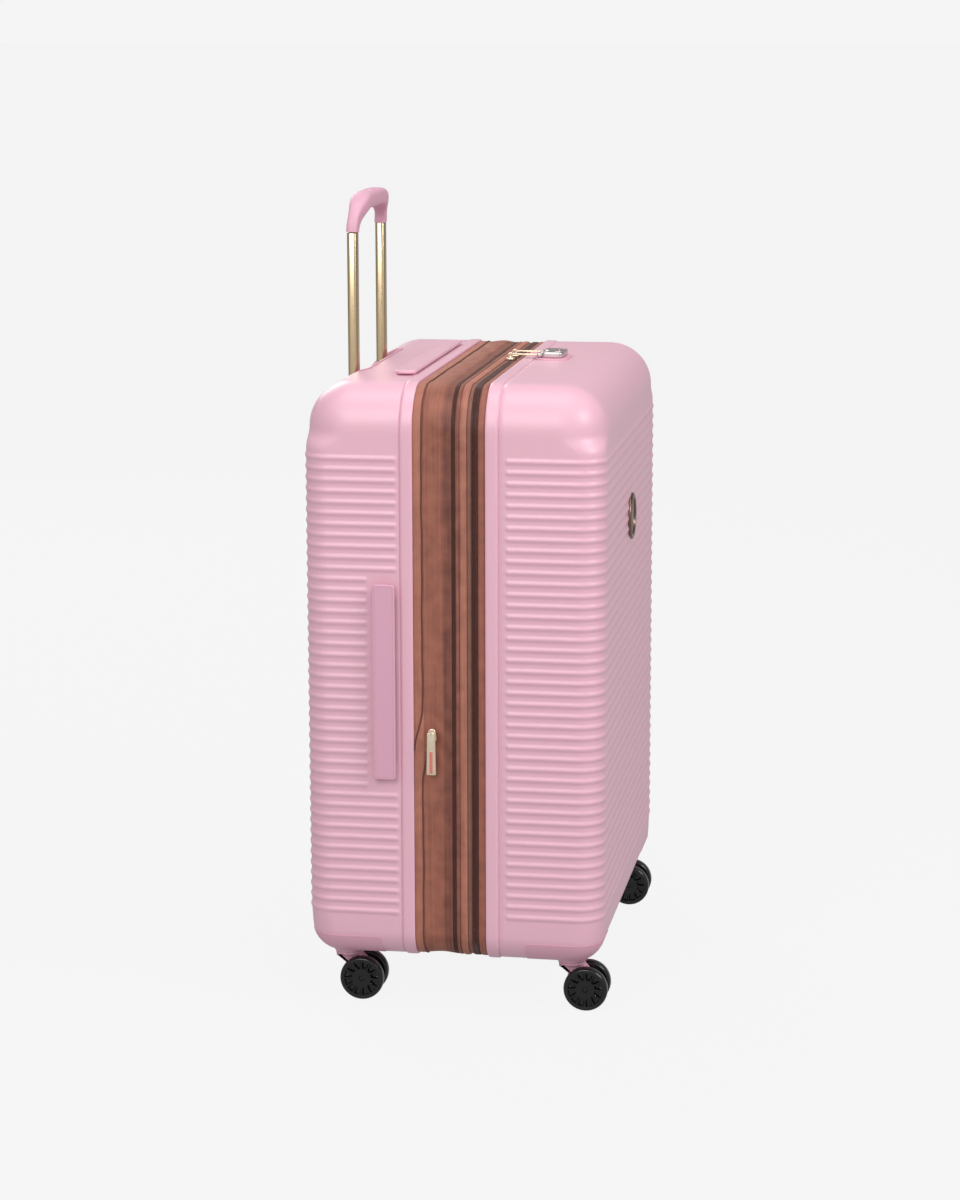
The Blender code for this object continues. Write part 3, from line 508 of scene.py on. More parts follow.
def cloth(name, dark, light, thread=0.0006, shade=None):
    """Twill: height is the larger of two crossed sine waves of the thread's pitch on
    the UV map, one of them slanted; colour runs between two tones with it. Long thin
    noise adds streaks, and shade (v from, v to, loss) darkens one side of a strip."""
    made, tree, skin = new_paint(name)
    where = node(tree, "UVMap").outputs["UV"]
    waves = []
    for turn_by in (SLANT, math.pi / 2):
        lay = node(tree, "Mapping", Vector=where, Rotation=(0, 0, turn_by))
        lay.inputs["Scale"].default_value = (1 / thread / 6.283 * 2,) * 3
        wave = node(tree, "TexWave", Vector=lay.outputs["Vector"], Scale=1.0,
                    Distortion=0.6, Detail_Scale=1.5)
        waves.append(wave.outputs["Fac"])
    both = node(tree, "Math", operation="MAXIMUM")
    tree.links.new(waves[0], both.inputs[0])
    tree.links.new(waves[1], both.inputs[1])
    slow = node(tree, "TexNoise", Vector=where, Scale=60.0, Detail=5.0)
    fade = node(tree, "Math", operation="MULTIPLY_ADD")
    tree.links.new(both.outputs[0], fade.inputs[0])
    fade.inputs[1].default_value = 0.35
    tree.links.new(slow.outputs["Fac"], fade.inputs[2])
    long = node(tree, "Mapping", Vector=where, Scale=(5, 420, 1)).outputs["Vector"]
    streak = node(tree, "TexNoise", Vector=long, Scale=1.0, Detail=3.0)
    factor = node(tree, "Math", operation="MULTIPLY_ADD")
    tree.links.new(streak.outputs["Fac"], factor.inputs[0])
    factor.inputs[1].default_value = 0.75
    tree.links.new(fade.outputs[0], factor.inputs[2])
    last = node(tree, "Math", operation="SUBTRACT")
    tree.links.new(factor.outputs[0], last.inputs[0])
    last.inputs[1].default_value = DARKER
    if shade:
        v = node(tree, "SeparateXYZ", Vector=where).outputs["Y"]
        loss = node(tree, "MapRange", Value=v, interpolation_type="SMOOTHSTEP")
        for key, value in (("From Min", shade[0]), ("From Max", shade[1]),
                           ("To Min", DARKER + shade[2]), ("To Max", DARKER)):
            loss.inputs[key].default_value = value
        tree.links.new(loss.outputs["Result"], last.inputs[1])
    tone = two_tones(tree, last.outputs[0], linear(*dark), linear(*light))
    tree.links.new(tone, skin.inputs["Base Color"])
    bump = node(tree, "Bump", Height=both.outputs[0], Distance=THREAD_DEPTH,
                Strength=0.5)
    tree.links.new(bump.outputs["Normal"], skin.inputs["Normal"])
    skin.inputs["Roughness"].default_value = 0.62
    skin.inputs["Sheen Weight"].default_value = 0.25
    skin.inputs["Sheen Roughness"].default_value = 0.4
    skin.inputs["Sheen Tint"].default_value = linear(*light)
    return made


TWILL = cloth("copper_twill", (96, 52, 42), (158, 95, 77))
# The panel's twill carries painted shade: it is darker towards the panel's front edge,
# fully below 7 mm and fading out by 13 mm, where the slack cloth folds under.
PANEL_TWILL_PAINTED_SHADE = cloth("copper_panel_twill_painted_shade", (90, 48, 38), (160, 97, 78),
                    shade=(0.007, 0.013, 0.42))
STRIP_TWILL = cloth("copper_strip_twill", (122, 70, 56), (178, 114, 94))
BAND_TWILL = cloth("copper_band_twill", (112, 64, 51), (178, 114, 95),
                   shade=(-0.0078, -0.0088, 0.50))
TAPE = cloth("zip_tape_cloth", (60, 32, 27), (100, 58, 48), thread=0.0004)
PALE_TAPE = cloth("zip_edge_cloth", (86, 54, 44), (138, 92, 75), thread=0.0004)
COIL = plastic("zip_coil", (78, 41, 36), 0.42, grain=3000, cloud=0.1)
PIPING = plastic("dark_seam_binding", (98, 56, 45), 0.7, cloud=0.15)
LINING = cloth("lining_cloth", (150, 118, 122), (196, 168, 170), thread=0.0005)
WEBBING = cloth("packing_webbing", (120, 72, 58), (170, 112, 92), thread=0.0012)

# %% [markdown]
# ## The belt between the halves
# Every strip of the gusset runs round the same closed path, a rounded rectangle
# a little inside the shells. A strip is a cross section carried along that path:
# only its outer side changes from strip to strip, so one helper makes them all.

# %% Path of the belt and swept strips
BELT_W, BELT_LOW, BELT_HIGH = 0.2485, 0.0595, 0.7035
BELT_R, BELT_FOOT = 0.0485, 0.0325
MID_Z = 0.385
# Each leg or turn: its start or centre, its length or radius, its normal's angle.
TURNS = [((BELT_W, MID_Z), BELT_HIGH - BELT_R - MID_Z, 0.0),
         ((BELT_W - BELT_R, BELT_HIGH - BELT_R), BELT_R, 0.0),
         ((BELT_W - BELT_R, BELT_HIGH), 2 * (BELT_W - BELT_R), 90.0),
         ((BELT_R - BELT_W, BELT_HIGH - BELT_R), BELT_R, 90.0),
         ((-BELT_W, BELT_HIGH - BELT_R),
          BELT_HIGH - BELT_R - BELT_LOW - BELT_FOOT, 180.0),
         ((BELT_FOOT - BELT_W, BELT_LOW + BELT_FOOT), BELT_FOOT, 180.0),
         ((BELT_FOOT - BELT_W, BELT_LOW), 2 * (BELT_W - BELT_FOOT), 270.0),
         ((BELT_W - BELT_FOOT, BELT_LOW + BELT_FOOT), BELT_FOOT, 270.0),
         ((BELT_W, BELT_LOW + BELT_FOOT), MID_Z - BELT_LOW - BELT_FOOT, 0.0)]
LENGTHS = [size * (math.pi / 2 if k in (1, 3, 5, 7) else 1)
           for k, (_, size, _) in enumerate(TURNS)]
STOPS = np.concatenate([[0], np.cumsum(LENGTHS)])
BELT = STOPS[-1]
LEFT_MID = STOPS[4] + BELT_HIGH - BELT_R - MID_Z


def belt(s):
    """Points and outward normals in the XZ plane at distance s from the middle of
    the right side, going up. A straight leg runs on from its start, and a turn goes
    round its centre by arc / radius."""
    s = np.mod(s, BELT)
    leg = np.clip(np.searchsorted(STOPS, s, side="right") - 1, 0, len(TURNS) - 1)
    into = s - STOPS[leg]
    start = np.array([at for at, _, _ in TURNS])[leg]
    size = np.array([size for _, size, _ in TURNS])[leg]
    bent = leg % 2 == 1
    a = np.radians([angle for _, _, angle in TURNS])[leg] + np.where(bent, into / size, 0)
    normal = np.stack([np.cos(a), np.sin(a)], -1)
    along = np.stack([-np.sin(a), np.cos(a)], -1)
    return start + np.where(bent[..., None], size[..., None] * normal,
                            into[..., None] * along), normal


def strip(s, y, rise, thick):
    """Closed sections along the belt: outer points at (y, rise), inner ones a
    thickness below, where y and rise are (n,) or (m, n) and rise is outwards."""
    at, normal = belt(s)
    y = np.broadcast_to(y, (len(s), np.shape(y)[-1]))
    rise = np.broadcast_to(rise, y.shape)
    y = np.concatenate([y, y[:, ::-1]], 1)
    rise = np.concatenate([rise, rise[:, ::-1] - thick], 1)
    points = at[:, None] + normal[:, None] * rise[..., None]
    return np.stack([points[..., 0], y, points[..., 1]], -1)


def belt_uv(s, sections, closed):
    """UV in metres: along the belt, and across in y; closed belts repeat the first
    row a full turn on, and open ones have an end point row at either end."""
    v = sections[..., 1]
    u = s[:, None] + 0 * v
    if closed:
        u, v = np.concatenate([u, u[:1] + BELT]), np.concatenate([v, v[:1]])
    else:
        u = np.concatenate([u[:1], u, u[-1:]])
        v = np.concatenate([v[:1], v, v[-1:]])
    return np.stack([u, v], -1).reshape(-1, 2)


def belt_piece(name, y, rise, thick, paint, body, replaces=(), s=None):
    """A strip of the belt as a piece, closed round or, given s, from end to end."""
    closed = s is None
    if closed:
        s = np.linspace(0, BELT, 721)[:-1]
    sections = strip(s, y, rise, thick)
    solid = torus(sections) if closed else tube(sections)
    return piece(name, [solid], paint, body, replaces, 50,
                 uv=belt_uv(s, sections, closed))


def bumps(y0, y1, high, n=9, power=4):
    """Rounded cross section from y0 to y1: rise = high (1 - u^power), with points
    closer together near both edges."""
    u = squarer(np.linspace(-1, 1, n), 0.7)
    return y0 + (y1 - y0) * (u + 1) / 2, high * (1 - np.abs(u) ** power)


print("belt", round(BELT, 4), "m round")

# %% [markdown]
# Three plain bands of twill are the gusset's fixed parts, and a dark binding
# covers the seam of the panel. Each is two edges across the belt and the height
# of its crown. The binding wanders a little from side to side, and its ends step
# aside where the expander zip starts.

# %% Gusset bands and seam binding
y, rise = bumps(0.0322, 0.0430, 0.0006)
belt_piece("back_gusset_band", y, rise - 0.0002, 0.0016, STRIP_TWILL,
           "back_case", ["back_gusset_strip"])
SEAM_START, SEAM_END = 0.300, 0.301
seam_s = np.linspace(LEFT_MID + MID_Z - SEAM_START, LEFT_MID + MID_Z - SEAM_END + BELT,
                     1201)
below, above = seam_s - seam_s[0], seam_s[-1] - seam_s
seam_y = 0.0333 - 0.0046 * (1 - smooth(below / 0.034))
seam_y += 0.0090 * (1 - smooth(above / 0.048))
seam_y += 0.00022 * np.sin(seam_s * 47) + 0.00016 * np.sin(seam_s * 113 + 1)
y, rise = bumps(-0.0010, 0.0010, 0.0006, 7, 2)
belt_piece("back_seam_binding", seam_y[:, None] + y, rise + 0.0004, 0.0012, PIPING,
           "back_case", s=seam_s)
y, rise = bumps(-0.0164, -0.0088, 0.0009, 9, 4)
y_2, rise_2 = bumps(-0.0080, -0.0042, 0.0005, 7, 4)
y = np.concatenate([y, [-0.0087, -0.0081], y_2])
rise = np.concatenate([rise, [-0.0010, -0.0010], rise_2])
belt_piece("middle_gusset_band", y, rise - 0.0002, 0.0012, BAND_TWILL,
           "zip_frame", ["zip_frame_strip"])
y, rise = bumps(-0.0368, -0.0292, 0.0006)
belt_piece("front_gusset_band", y, rise - 0.0002, 0.0014, TWILL,
           "lid", ["front_gusset_strip"])

# %% [markdown]
# ## The expanding panel
# This is the wide strip that the second zip opens. It hangs a little slack, so
# it sags inwards between its seams, but over the top it stands up in a low crown
# with puckers. Where the zip's slider is parked the slack gathers into short
# folds that spread like a V. Moving the points of a swept strip by formula keeps
# the seams exactly in place.

# %% Slack woven panel
PULL_S = LEFT_MID + (MID_Z - 0.3213)
PANEL_Y0, PANEL_Y1 = 0.0003, 0.0322
s = np.linspace(0, BELT, 1201)[:-1]
v = np.linspace(0, 1, 23)
panel_y = PANEL_Y0 + (PANEL_Y1 - PANEL_Y0) * v
S, V = np.meshgrid(s, v, indexing="ij")
from_pull = S - PULL_S
near = np.exp(-(from_pull / 0.045) ** 2)
wave_1 = np.sin(S * 61) + 0.6 * np.sin(S * 137 + 1.3) + 0.4 * np.sin(S * 251 + V * 5)
belly = np.sin(math.pi * V)
folds = np.cos((from_pull - 0.030 * (1 - V)) * 210) * near * belly
folds *= 1 - np.exp(-((V - 0.75) / 0.16) ** 2)
over = smooth((S - STOPS[1] + 0.01) / 0.03) * smooth((STOPS[4] - S + 0.01) / 0.03)
pucker = over * belly * (np.sin(S * 90 + 6 * V) + 0.7 * np.sin(S * 233 - 4 * V))
panel_rise = -0.0003 - belly * (0.0014 + 0.00022 * wave_1) - 0.0006 * folds
panel_rise += over * belly * 0.0030 + 0.00030 * pucker
panel_rise -= 0.0016 * near * np.exp(-((V - 0.62) / 0.22) ** 2)
sections = strip(s, panel_y, panel_rise, 0.0007)
panel = piece("expanding_panel", [torus(sections)], PANEL_TWILL_PAINTED_SHADE,
              "back_case", ["expansion_panel"], 80, uv=belt_uv(s, sections, True))
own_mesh(panel)

# %% [markdown]
# ## Zips
# A coil zip is two cloth tapes, each with a row of small hooks. From outside one
# sees a dark double row of slanted beads. A bead here is a six-sided rod with
# pinched ends, repeated along the belt, because it is seen by the thousand.

# %% Tapes and teeth
OPEN_LOW, OPEN_HIGH = 0.158, 0.605
ZIP_S = np.linspace(OPEN_HIGH - MID_Z, BELT - (MID_Z - OPEN_LOW), 901)


TOOTH_LEAN = 0.0003


def teeth(s, y0, y1, rise, thick):
    """Six-sided rods across the belt at each s, from y0 to y1 with pinched ends and
    a small lean along the belt. Each is 4 sections of 6 points."""
    at, normal = belt(s)
    along = np.stack([-normal[:, 1], normal[:, 0]], -1)
    a = np.radians(np.arange(6) * 60)
    size = np.array([0.45, 1.0, 1.0, 0.6]) * thick
    y = np.array([y0, y0 + 0.18 * (y1 - y0), y0 + 0.82 * (y1 - y0), y1])
    lean = TOOTH_LEAN * np.array([-1, -1, 1, 1])
    b = size[:, None] * np.cos(a) + lean[:, None]
    c = size[:, None] * np.sin(a)
    xz = (at[:, None, None] + along[:, None, None] * b[None, ..., None]
          + normal[:, None, None] * (c[None, ..., None] + rise))
    rods = np.stack([xz[..., 0], np.broadcast_to(y[None, :, None], xz.shape[:3]),
                     xz[..., 1]], -1)
    n = len(s)
    points = rods.reshape(n, 24, 3)
    face = np.concatenate([cells(4, 6, True), [[0, 1, 2, 3], [3, 4, 5, 0],
                                               [21, 20, 19, 18], [18, 23, 22, 21]]])
    faces = face[None] + 24 * np.arange(n)[:, None, None]
    return points.reshape(-1, 3), faces.reshape(-1, 4)


TOOTH = 0.0020
zip_run = np.arange(ZIP_S[0] + 0.004, ZIP_S[-1] - 0.004, TOOTH)
belt_run = np.arange(0, BELT - TOOTH / 2, BELT / round(BELT / TOOTH))
for name, y0, y1, paint, body, node_name in (
        ("main_zip_tape_inner", -0.0226, -0.0168, PALE_TAPE, "zip_frame",
         "main_zip_back"),
        ("main_zip_tape_outer", -0.0288, -0.0231, TAPE, "lid", "main_zip_front")):
    y, rise = bumps(y0, y1, 0.0003, 7)
    belt_piece(name, y, rise - 0.0012, 0.0008, paint, body, [node_name],
               s=ZIP_S)
piece("main_zip_coil_inner", [teeth(zip_run, -0.0248, -0.0210, -0.0003, 0.00058)],
      COIL, "zip_frame")
piece("main_zip_coil_outer", [teeth(zip_run + TOOTH / 2, -0.0238, -0.0281, -0.0003,
                                    0.00058)], COIL, "lid")
y, rise = bumps(-0.0040, 0.0001, 0.0002, 7)
belt_piece("expander_zip_tape", y, rise - 0.0014, 0.0008, TAPE,
           "zip_frame", ["expander_zip"])
piece("expander_zip_coil", [teeth(belt_run, -0.0034, -0.0004, -0.0006, 0.00055)],
      COIL, "zip_frame")
PARTED = 0.065
near_pull = np.abs(belt_run - PULL_S) < PARTED
piece("expander_zip_coil_back", [teeth(belt_run[~near_pull], 0.0349, 0.0325, -0.0008,
                                       0.0005)],
      COIL, "back_case")

# %% [markdown]
# ## Cloth hinge
# The lid has no metal hinge. Along the right side the zip stops short and plain
# tape joins the two halves, so it has to bend as the lid opens.

# %% Hinge tape
hinge_s = np.linspace(OPEN_LOW - MID_Z, OPEN_HIGH - MID_Z, 121)
y, rise = bumps(-0.0286, -0.0171, 0.0005, 15, 2)
hinge = belt_piece("hinge_cloth", y, rise + 0.0001, 0.0008, STRIP_TWILL,
                   None, ["hinge_tape"], s=hinge_s)
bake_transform(hinge)

# %% [markdown]
# ## Carry handles
# Both handles are soft-touch bars on two short legs. A thin line runs round the
# face of each bar just inside its edge. The legs go through low slot frames, and
# the whole handle lifts by 10 mm before its stops meet the shell.

# %% Side and top handle
LEG_IN = 0.0140
BAR_EDGE = 0.0012
GROOVE_IN, GROOVE_DEEP = 0.0022, 0.0003


def groove_face(low, high):
    """Plate steps with a round edge below and above, and then a fine groove that
    runs round the face."""
    groove = [[GROOVE_IN, high], [GROOVE_IN + 0.0002, high - GROOVE_DEEP],
              [GROOVE_IN + 0.0007, high - GROOVE_DEEP], [GROOVE_IN + 0.0009, high]]
    return np.concatenate([soft_edge(low, high, BAR_EDGE, 5), groove])


def handle(name, outline, axes, centre, low, high, way, legs, body, node_name, paint):
    """Grooved bar from low to high above the wall, and two rounded legs, given as
    (distance from the middle, outline), from inside the shell up into the bar."""
    bar = plate(outline, groove_face(low, high) * [1, way], axes, centre)
    leg = rounded_box(*legs[1], 0.0015, 5)
    parts = [bar]
    for along in (-legs[0], legs[0]):
        steps = soft_edge(-LEG_IN, low + 0.0008, 0.0004, 3) * [1, way]
        spot = np.array(centre, float)
        spot["xyz".index(axes[1])] += along
        parts.append(plate(leg, steps, axes, spot))
    return piece(name, parts, paint, body, [node_name], 50)


SIDE_Y, SIDE_Z, SIDE_LEG = 0.07475, 0.378, 0.098
TOP_Y, TOP_LEG = 0.06875, 0.143
handle("side_carry_handle", rounded_box(0.0255, 0.220, 0.0042, 8), "yzx",
       (-0.250, SIDE_Y, SIDE_Z), 0.0055, 0.0090, -1, (SIDE_LEG, (0.0215, 0.007)),
       "side_carry", "side_handle", HANDLE_PINK)
handle("top_carry_handle", rounded_box(0.0235, 0.310, 0.0080, 8), "yxz",
       (0, TOP_Y, HIGH), 0.0019, 0.0056, 1, (TOP_LEG, (0.0195, 0.007)),
       "top_carry", "top_handle", SHELL_PINK)
SLOT_STEPS = soft_edge(-0.0004, 0.0009, 0.0004, 3)
slots = []
for end in (-1, 1):
    slots.append(plate(rounded_box(0.0245, 0.0105, 0.0028), SLOT_STEPS * [1, -1], "yzx",
                       (-0.2497, SIDE_Y, SIDE_Z + end * SIDE_LEG)))
for end in (-1, 1):
    slots.append(plate(rounded_box(0.0225, 0.0105, 0.0028), SLOT_STEPS, "yxz",
                       (end * TOP_LEG, TOP_Y, HIGH)))
piece("handle_slots", slots, TRIM_PINK, "back_case")

# %% [markdown]
# ## Trolley well, tubes and grip
# The well is a moulded tray let into the back shell's rolled top edge. Its rim
# has to follow that curve, so each point of the rim takes its height from the
# same roll, z = centre + sqrt(R^2 - d^2). A cutter of the same outline opens the
# shell for it.

# %% Trolley well
WELL_X, WELL_Y0, WELL_Y1, WELL_FLOOR = 0.1045, 0.1220, 0.1595, 0.657
WELL_Y = (WELL_Y0 + WELL_Y1) / 2
well_line = rounded_box(2 * WELL_X, WELL_Y1 - WELL_Y0, 0.008, 9)


def roll_height(y, out=0.0):
    """Height of the shell's rolled top edge at depth y, that far outside it."""
    into = np.clip(y - (HALF_DEPTH - EDGE_R), 0, None)
    return HIGH - EDGE_R + np.sqrt(np.clip((EDGE_R + out) ** 2 - into ** 2, 0, None))


cutter = piece("well_cutter", [plate(well_line, [[0, -0.04], [0, 0.09]], "xyz",
                                     (0, WELL_Y, 0.660))], PRINT_AND_SHADE_DARK)
cut = back_half.modifiers.new("well", "BOOLEAN")
cut.object, cut.operation, cut.solver = cutter, "DIFFERENCE", "MANIFOLD"
bpy.context.view_layer.objects.active = back_half
bpy.ops.object.modifier_apply(modifier="well")
bpy.data.objects.remove(cutter)
back_half.data.set_sharp_from_angle(angle=math.radians(60))
print("back shell after the cut", len(back_half.data.polygons), "faces")


def well_row(from_what, inset, height):
    """One row round the well at an inset, at a height above the floor, or that far
    outside the rolled edge."""
    flat = well_line[0] - inset * well_line[1]
    z = (roll_height(flat[:, 1] + WELL_Y, height) if from_what == "roll"
         else WELL_FLOOR + height + 0 * flat[:, 0])
    return np.stack([flat[:, 0], flat[:, 1] + WELL_Y, z], -1)


WELL_ROWS = [("floor", -0.0004, -0.002), ("roll", -0.0004, -0.004),
             ("roll", -0.0004, -0.0003), ("roll", -0.0022, 0.0002),
             ("roll", -0.0024, 0.0007), ("roll", -0.0018, 0.0012),
             ("roll", 0.0002, 0.0012), ("roll", 0.0009, 0.0007),
             ("roll", 0.0012, -0.0006), ("floor", 0.0014, 0.004),
             ("floor", 0.0022, 0.0012), ("floor", 0.0042, 0.0), ("floor", 0.012, 0.0)]
piece("trolley_tray", [tube([well_row(*row) for row in WELL_ROWS])], TRIM_PINK,
      "back_case", ["trolley_well"], 45)

# %% [markdown]
# Two pairs of flat tubes slide in each other: a gold inner one, a bare alloy
# middle one, and a collar at the well's floor. A hollow one is a plate whose
# steps run up its outside and down its inside.

# %% Tubes and their collars
TUBE_X, TUBE_Y = 0.080, 0.142
INNER_STEPS = soft_edge(0.3205, 0.8566, 0.0004, 3)
MIDDLE_STEPS = [[0, 0.1205], [0, 0.6580], [0.0004, 0.6584], [0.0010, 0.6584],
                [0.0012, 0.6578], [0.0012, 0.1205]]
COLLAR_STEPS = [[0.0, 0.6571], [0.0, 0.6600], [0.0006, 0.6606], [0.0020, 0.6606],
                [0.0024, 0.6600], [0.0024, 0.6571]]
for side, sx in (("left", -1), ("right", 1)):
    at = (sx * TUBE_X, TUBE_Y, 0)
    inner = plate(rounded_box(0.0162, 0.0114, 0.0040, 9), INNER_STEPS, centre=at)
    piece("gold_tube_" + side, [inner], GOLD, "trolley_top",
          ["inner_tube_" + side], 60)
    middle = plate(rounded_box(0.0192, 0.0144, 0.0052, 9), MIDDLE_STEPS, centre=at,
                   hollow=True)
    piece("middle_tube_piece_" + side, [middle], ALLOY, "trolley_middle",
          ["middle_tube_" + side], 60)
    collar = plate(rounded_box(0.0248, 0.0200, 0.0070, 9), COLLAR_STEPS, centre=at,
                   hollow=True)
    piece("tube_collar_" + side, [collar], GREY, "back_case", sharp=50)

# %% [markdown]
# The grip is one moulding bent like a staple. A rounded section follows a path
# of two legs and a bar joined by quarter turns. The section is slim where it
# takes the tube and fuller in the hand, and the bar leans a little forward.

# %% Grip and its button
GRIP_FOOT, BAR_Z, BEND_X = 0.8572, 0.8906, 0.046
bend = np.radians(np.linspace(0, 90, 19))
half = np.concatenate([
    np.stack([-TUBE_X + BEND_X * (1 - np.cos(bend)),
              GRIP_FOOT + (BAR_Z - GRIP_FOOT) * np.sin(bend)], 1),
    np.stack([np.linspace(-TUBE_X + BEND_X, 0, 7)[1:], np.full(6, BAR_Z)], 1)])
path = np.concatenate([half, (half * [-1, 1])[-2::-1]])
along = unit(np.gradient(path, axis=0))
up_run = smooth((path[:, 1] - GRIP_FOOT) / (BAR_Z - GRIP_FOOT))
mid_y = TUBE_Y - 0.0035 * up_run
path3 = np.stack([path[:, 0], mid_y, path[:, 1]], 1)
outward = np.stack([-along[:, 1], 0 * mid_y, along[:, 0]], 1)
deep = np.stack([0 * mid_y, 1 + 0 * mid_y, 0 * mid_y], 1)
a = np.linspace(0, 2 * math.pi, 33)[:-1]
GRIP_POWER = 0.55
ring_a, ring_b = squarer(np.cos(a), GRIP_POWER), squarer(np.sin(a), GRIP_POWER)
half_out = 0.0092 + 0.0006 * up_run
half_deep = 0.0067 + 0.0048 * up_run ** 3
section = np.stack([ring_a[None] * half_out[:, None], ring_b[None] * half_deep[:, None]],
                   -1)
grip = swept(path3, outward, deep, section)
lips = [np.mean(ring, 0) + (ring - np.mean(ring, 0)) * 0.93 for ring in grip[[0, -1]]]
grip = np.concatenate([[lips[0]], grip, [lips[1]]])
piece("trolley_handle_grip", [tube(grip)], HANDLE_PINK, "trolley_top",
      ["trolley_grip"], 50)
BUTTON_AT = (0, 0.1385, 0)
FRAME_STEPS = [[0, 0.8955], [0, 0.8990], [0.0006, 0.8996], [0.0022, 0.8996],
               [0.0028, 0.8990], [0.008, 0.8990]]
BUTTON_STEPS = np.concatenate([soft_edge(0.8945, 0.9010, 0.0008, 5), [[0.0042, 0.9007]]])
piece("grip_button_frame", [
    plate(rounded_box(0.036, 0.0172, 0.0050), FRAME_STEPS, centre=BUTTON_AT)],
    HANDLE_PINK, "trolley_top")
piece("grip_release", [
    plate(rounded_box(0.029, 0.0108, 0.0035), BUTTON_STEPS, centre=BUTTON_AT)],
    HANDLE_PINK, "release_button", ["grip_button"])

# %% [markdown]
# ## Casters
# A caster is four things: a housing let into the corner of the shell, a round
# boss under it, a fork that swivels in the boss, and two wheels on one axle. The
# housing has to lie flush, so it is made from the shell's own rolled corner. A
# boss or a disc is a turned profile of (radius, height) pairs.

# %% Corner housings
AXLE_X, AXLE_BACK, AXLE_FRONT = 0.205, 0.1105, -0.1455
SWIVEL_Y = 0.128
WHEEL_R = 0.025
CAP_TOP, CAP_X, CAP_RUN, CAP_ROUND = 0.083, 0.168, 0.056, 0.0045


def housing(sx, rim_y, way, depth, from_d):
    """Flush corner cap: rows roll under the corner, z = zc - R sin t, and then shrink
    to its inner corner; columns run along the side, round the upright and along the
    face, and its two upper ends are round. A second skin 2 mm inside closes it."""
    f = np.array([[0, .012, .03, .055, .085, .2, .4, .6, .8, 1]])
    near = np.clip(1 - f * CAP_RUN / CAP_ROUND, 0, 1)
    a = np.linspace(0, math.pi / 2, 12)[None]
    top = CAP_TOP - CAP_ROUND * (1 - np.sqrt(1 - near ** 2))
    top = np.concatenate([top, CAP_TOP + 0 * a, top[:, ::-1]], 1)
    t0 = np.arcsin((LOW + FOOT_R - top) / FOOT_R)
    skins = []
    for out in (0.0007, -0.0020):
        r_edge = FOOT_R + out
        t = t0 + (math.pi / 2 - t0) * np.linspace(0, 1, 14)[:, None]
        drop = FOOT_R - r_edge * np.cos(t)
        w, d, r = OUTER_W - drop, depth - drop, r_edge * np.cos(t)
        n = f.shape[1]
        w, d, r = ([v[:, :n], v[:, n:-n], v[:, -n:]] for v in (w, d, r))
        x = np.concatenate([w[0], w[1] - r[1] + r[1] * np.cos(a),
                            w[2] - r[2] - f * (w[2] - r[2] - CAP_X)], 1)
        y = np.concatenate([from_d + f * (d[0] - r[0] - from_d),
                            d[1] - r[1] + r[1] * np.sin(a), d[2]], 1)
        z = LOW + FOOT_R - r_edge * np.sin(t)
        grid = np.stack([x, y, z], -1)
        hub = np.array([CAP_X, from_d, LOW - out])
        shrink = np.array([0.8, 0.5, 0.25, 0.0])[:, None, None]
        skins.append(np.concatenate([grid, hub + shrink * (grid[-1] - hub)]))
    outer, inner = skins
    every = np.concatenate([inner[::-1], outer])
    m, n, _ = every.shape
    ends = [np.stack([outer[:, k], inner[:, k]]) for k in (0, -1)]
    parts = [(every.reshape(-1, 3), cells(m, n))]
    parts += [(e.reshape(-1, 3), cells(2, e.shape[1])) for e in ends]
    points, faces = joined(parts)
    points = points * [sx, way, 1] + [0, rim_y, 0]
    return points, faces


CORNERS = [("back_left", -1, AXLE_BACK, 1), ("back_right", 1, AXLE_BACK, 1),
           ("front_left", -1, AXLE_FRONT, -1), ("front_right", 1, AXLE_FRONT, -1)]
BOSS = [(0.0, 0.0600), (0.0205, 0.0600), (0.0190, 0.0577), (0.0175, 0.0556),
        (0.0166, 0.0542), (0.0160, 0.0536), (0.0, 0.0536)]
for corner, sx, _, way in CORNERS:
    rim, depth = (BACK_RIM, HALF_DEPTH - BACK_RIM) if way > 0 else (
        FRONT_RIM, HALF_DEPTH + FRONT_RIM)
    from_d = 0.082 - BACK_RIM if way > 0 else 0.081 + FRONT_RIM
    piece("corner_housing_" + corner, [
        housing(sx, rim, way, depth, from_d),
        turned(BOSS, 48, "xyz", (sx * AXLE_X, way * SWIVEL_Y, 0))],
        TRIM_PINK, "back_case" if way > 0 else "lid",
        ["caster_housing_" + corner], 45)

# %% [markdown]
# The fork is a plate on edge between the wheels, wide at its disc and drawn in
# to the axle like a bent triangle, with a raised web along its middle.

# %% Forks and axles
def fork_outline():
    """Side view in (y, z): a wide top under the disc, curving down to a round boss
    about the axle, as one arc and the corners of the top."""
    a = np.radians(np.linspace(-200, 20, 17))
    low = np.stack([0.0088 * np.cos(a), 0.0088 * np.sin(a)], 1) + [-0.0175, WHEEL_R]
    top = np.array([[0.0110, 0.0455], [0.0138, 0.0490], [0.0142, 0.0515],
                    [-0.0142, 0.0515], [-0.0160, 0.0490], [-0.0222, 0.0420]])
    return with_normals(np.concatenate([low, top]))


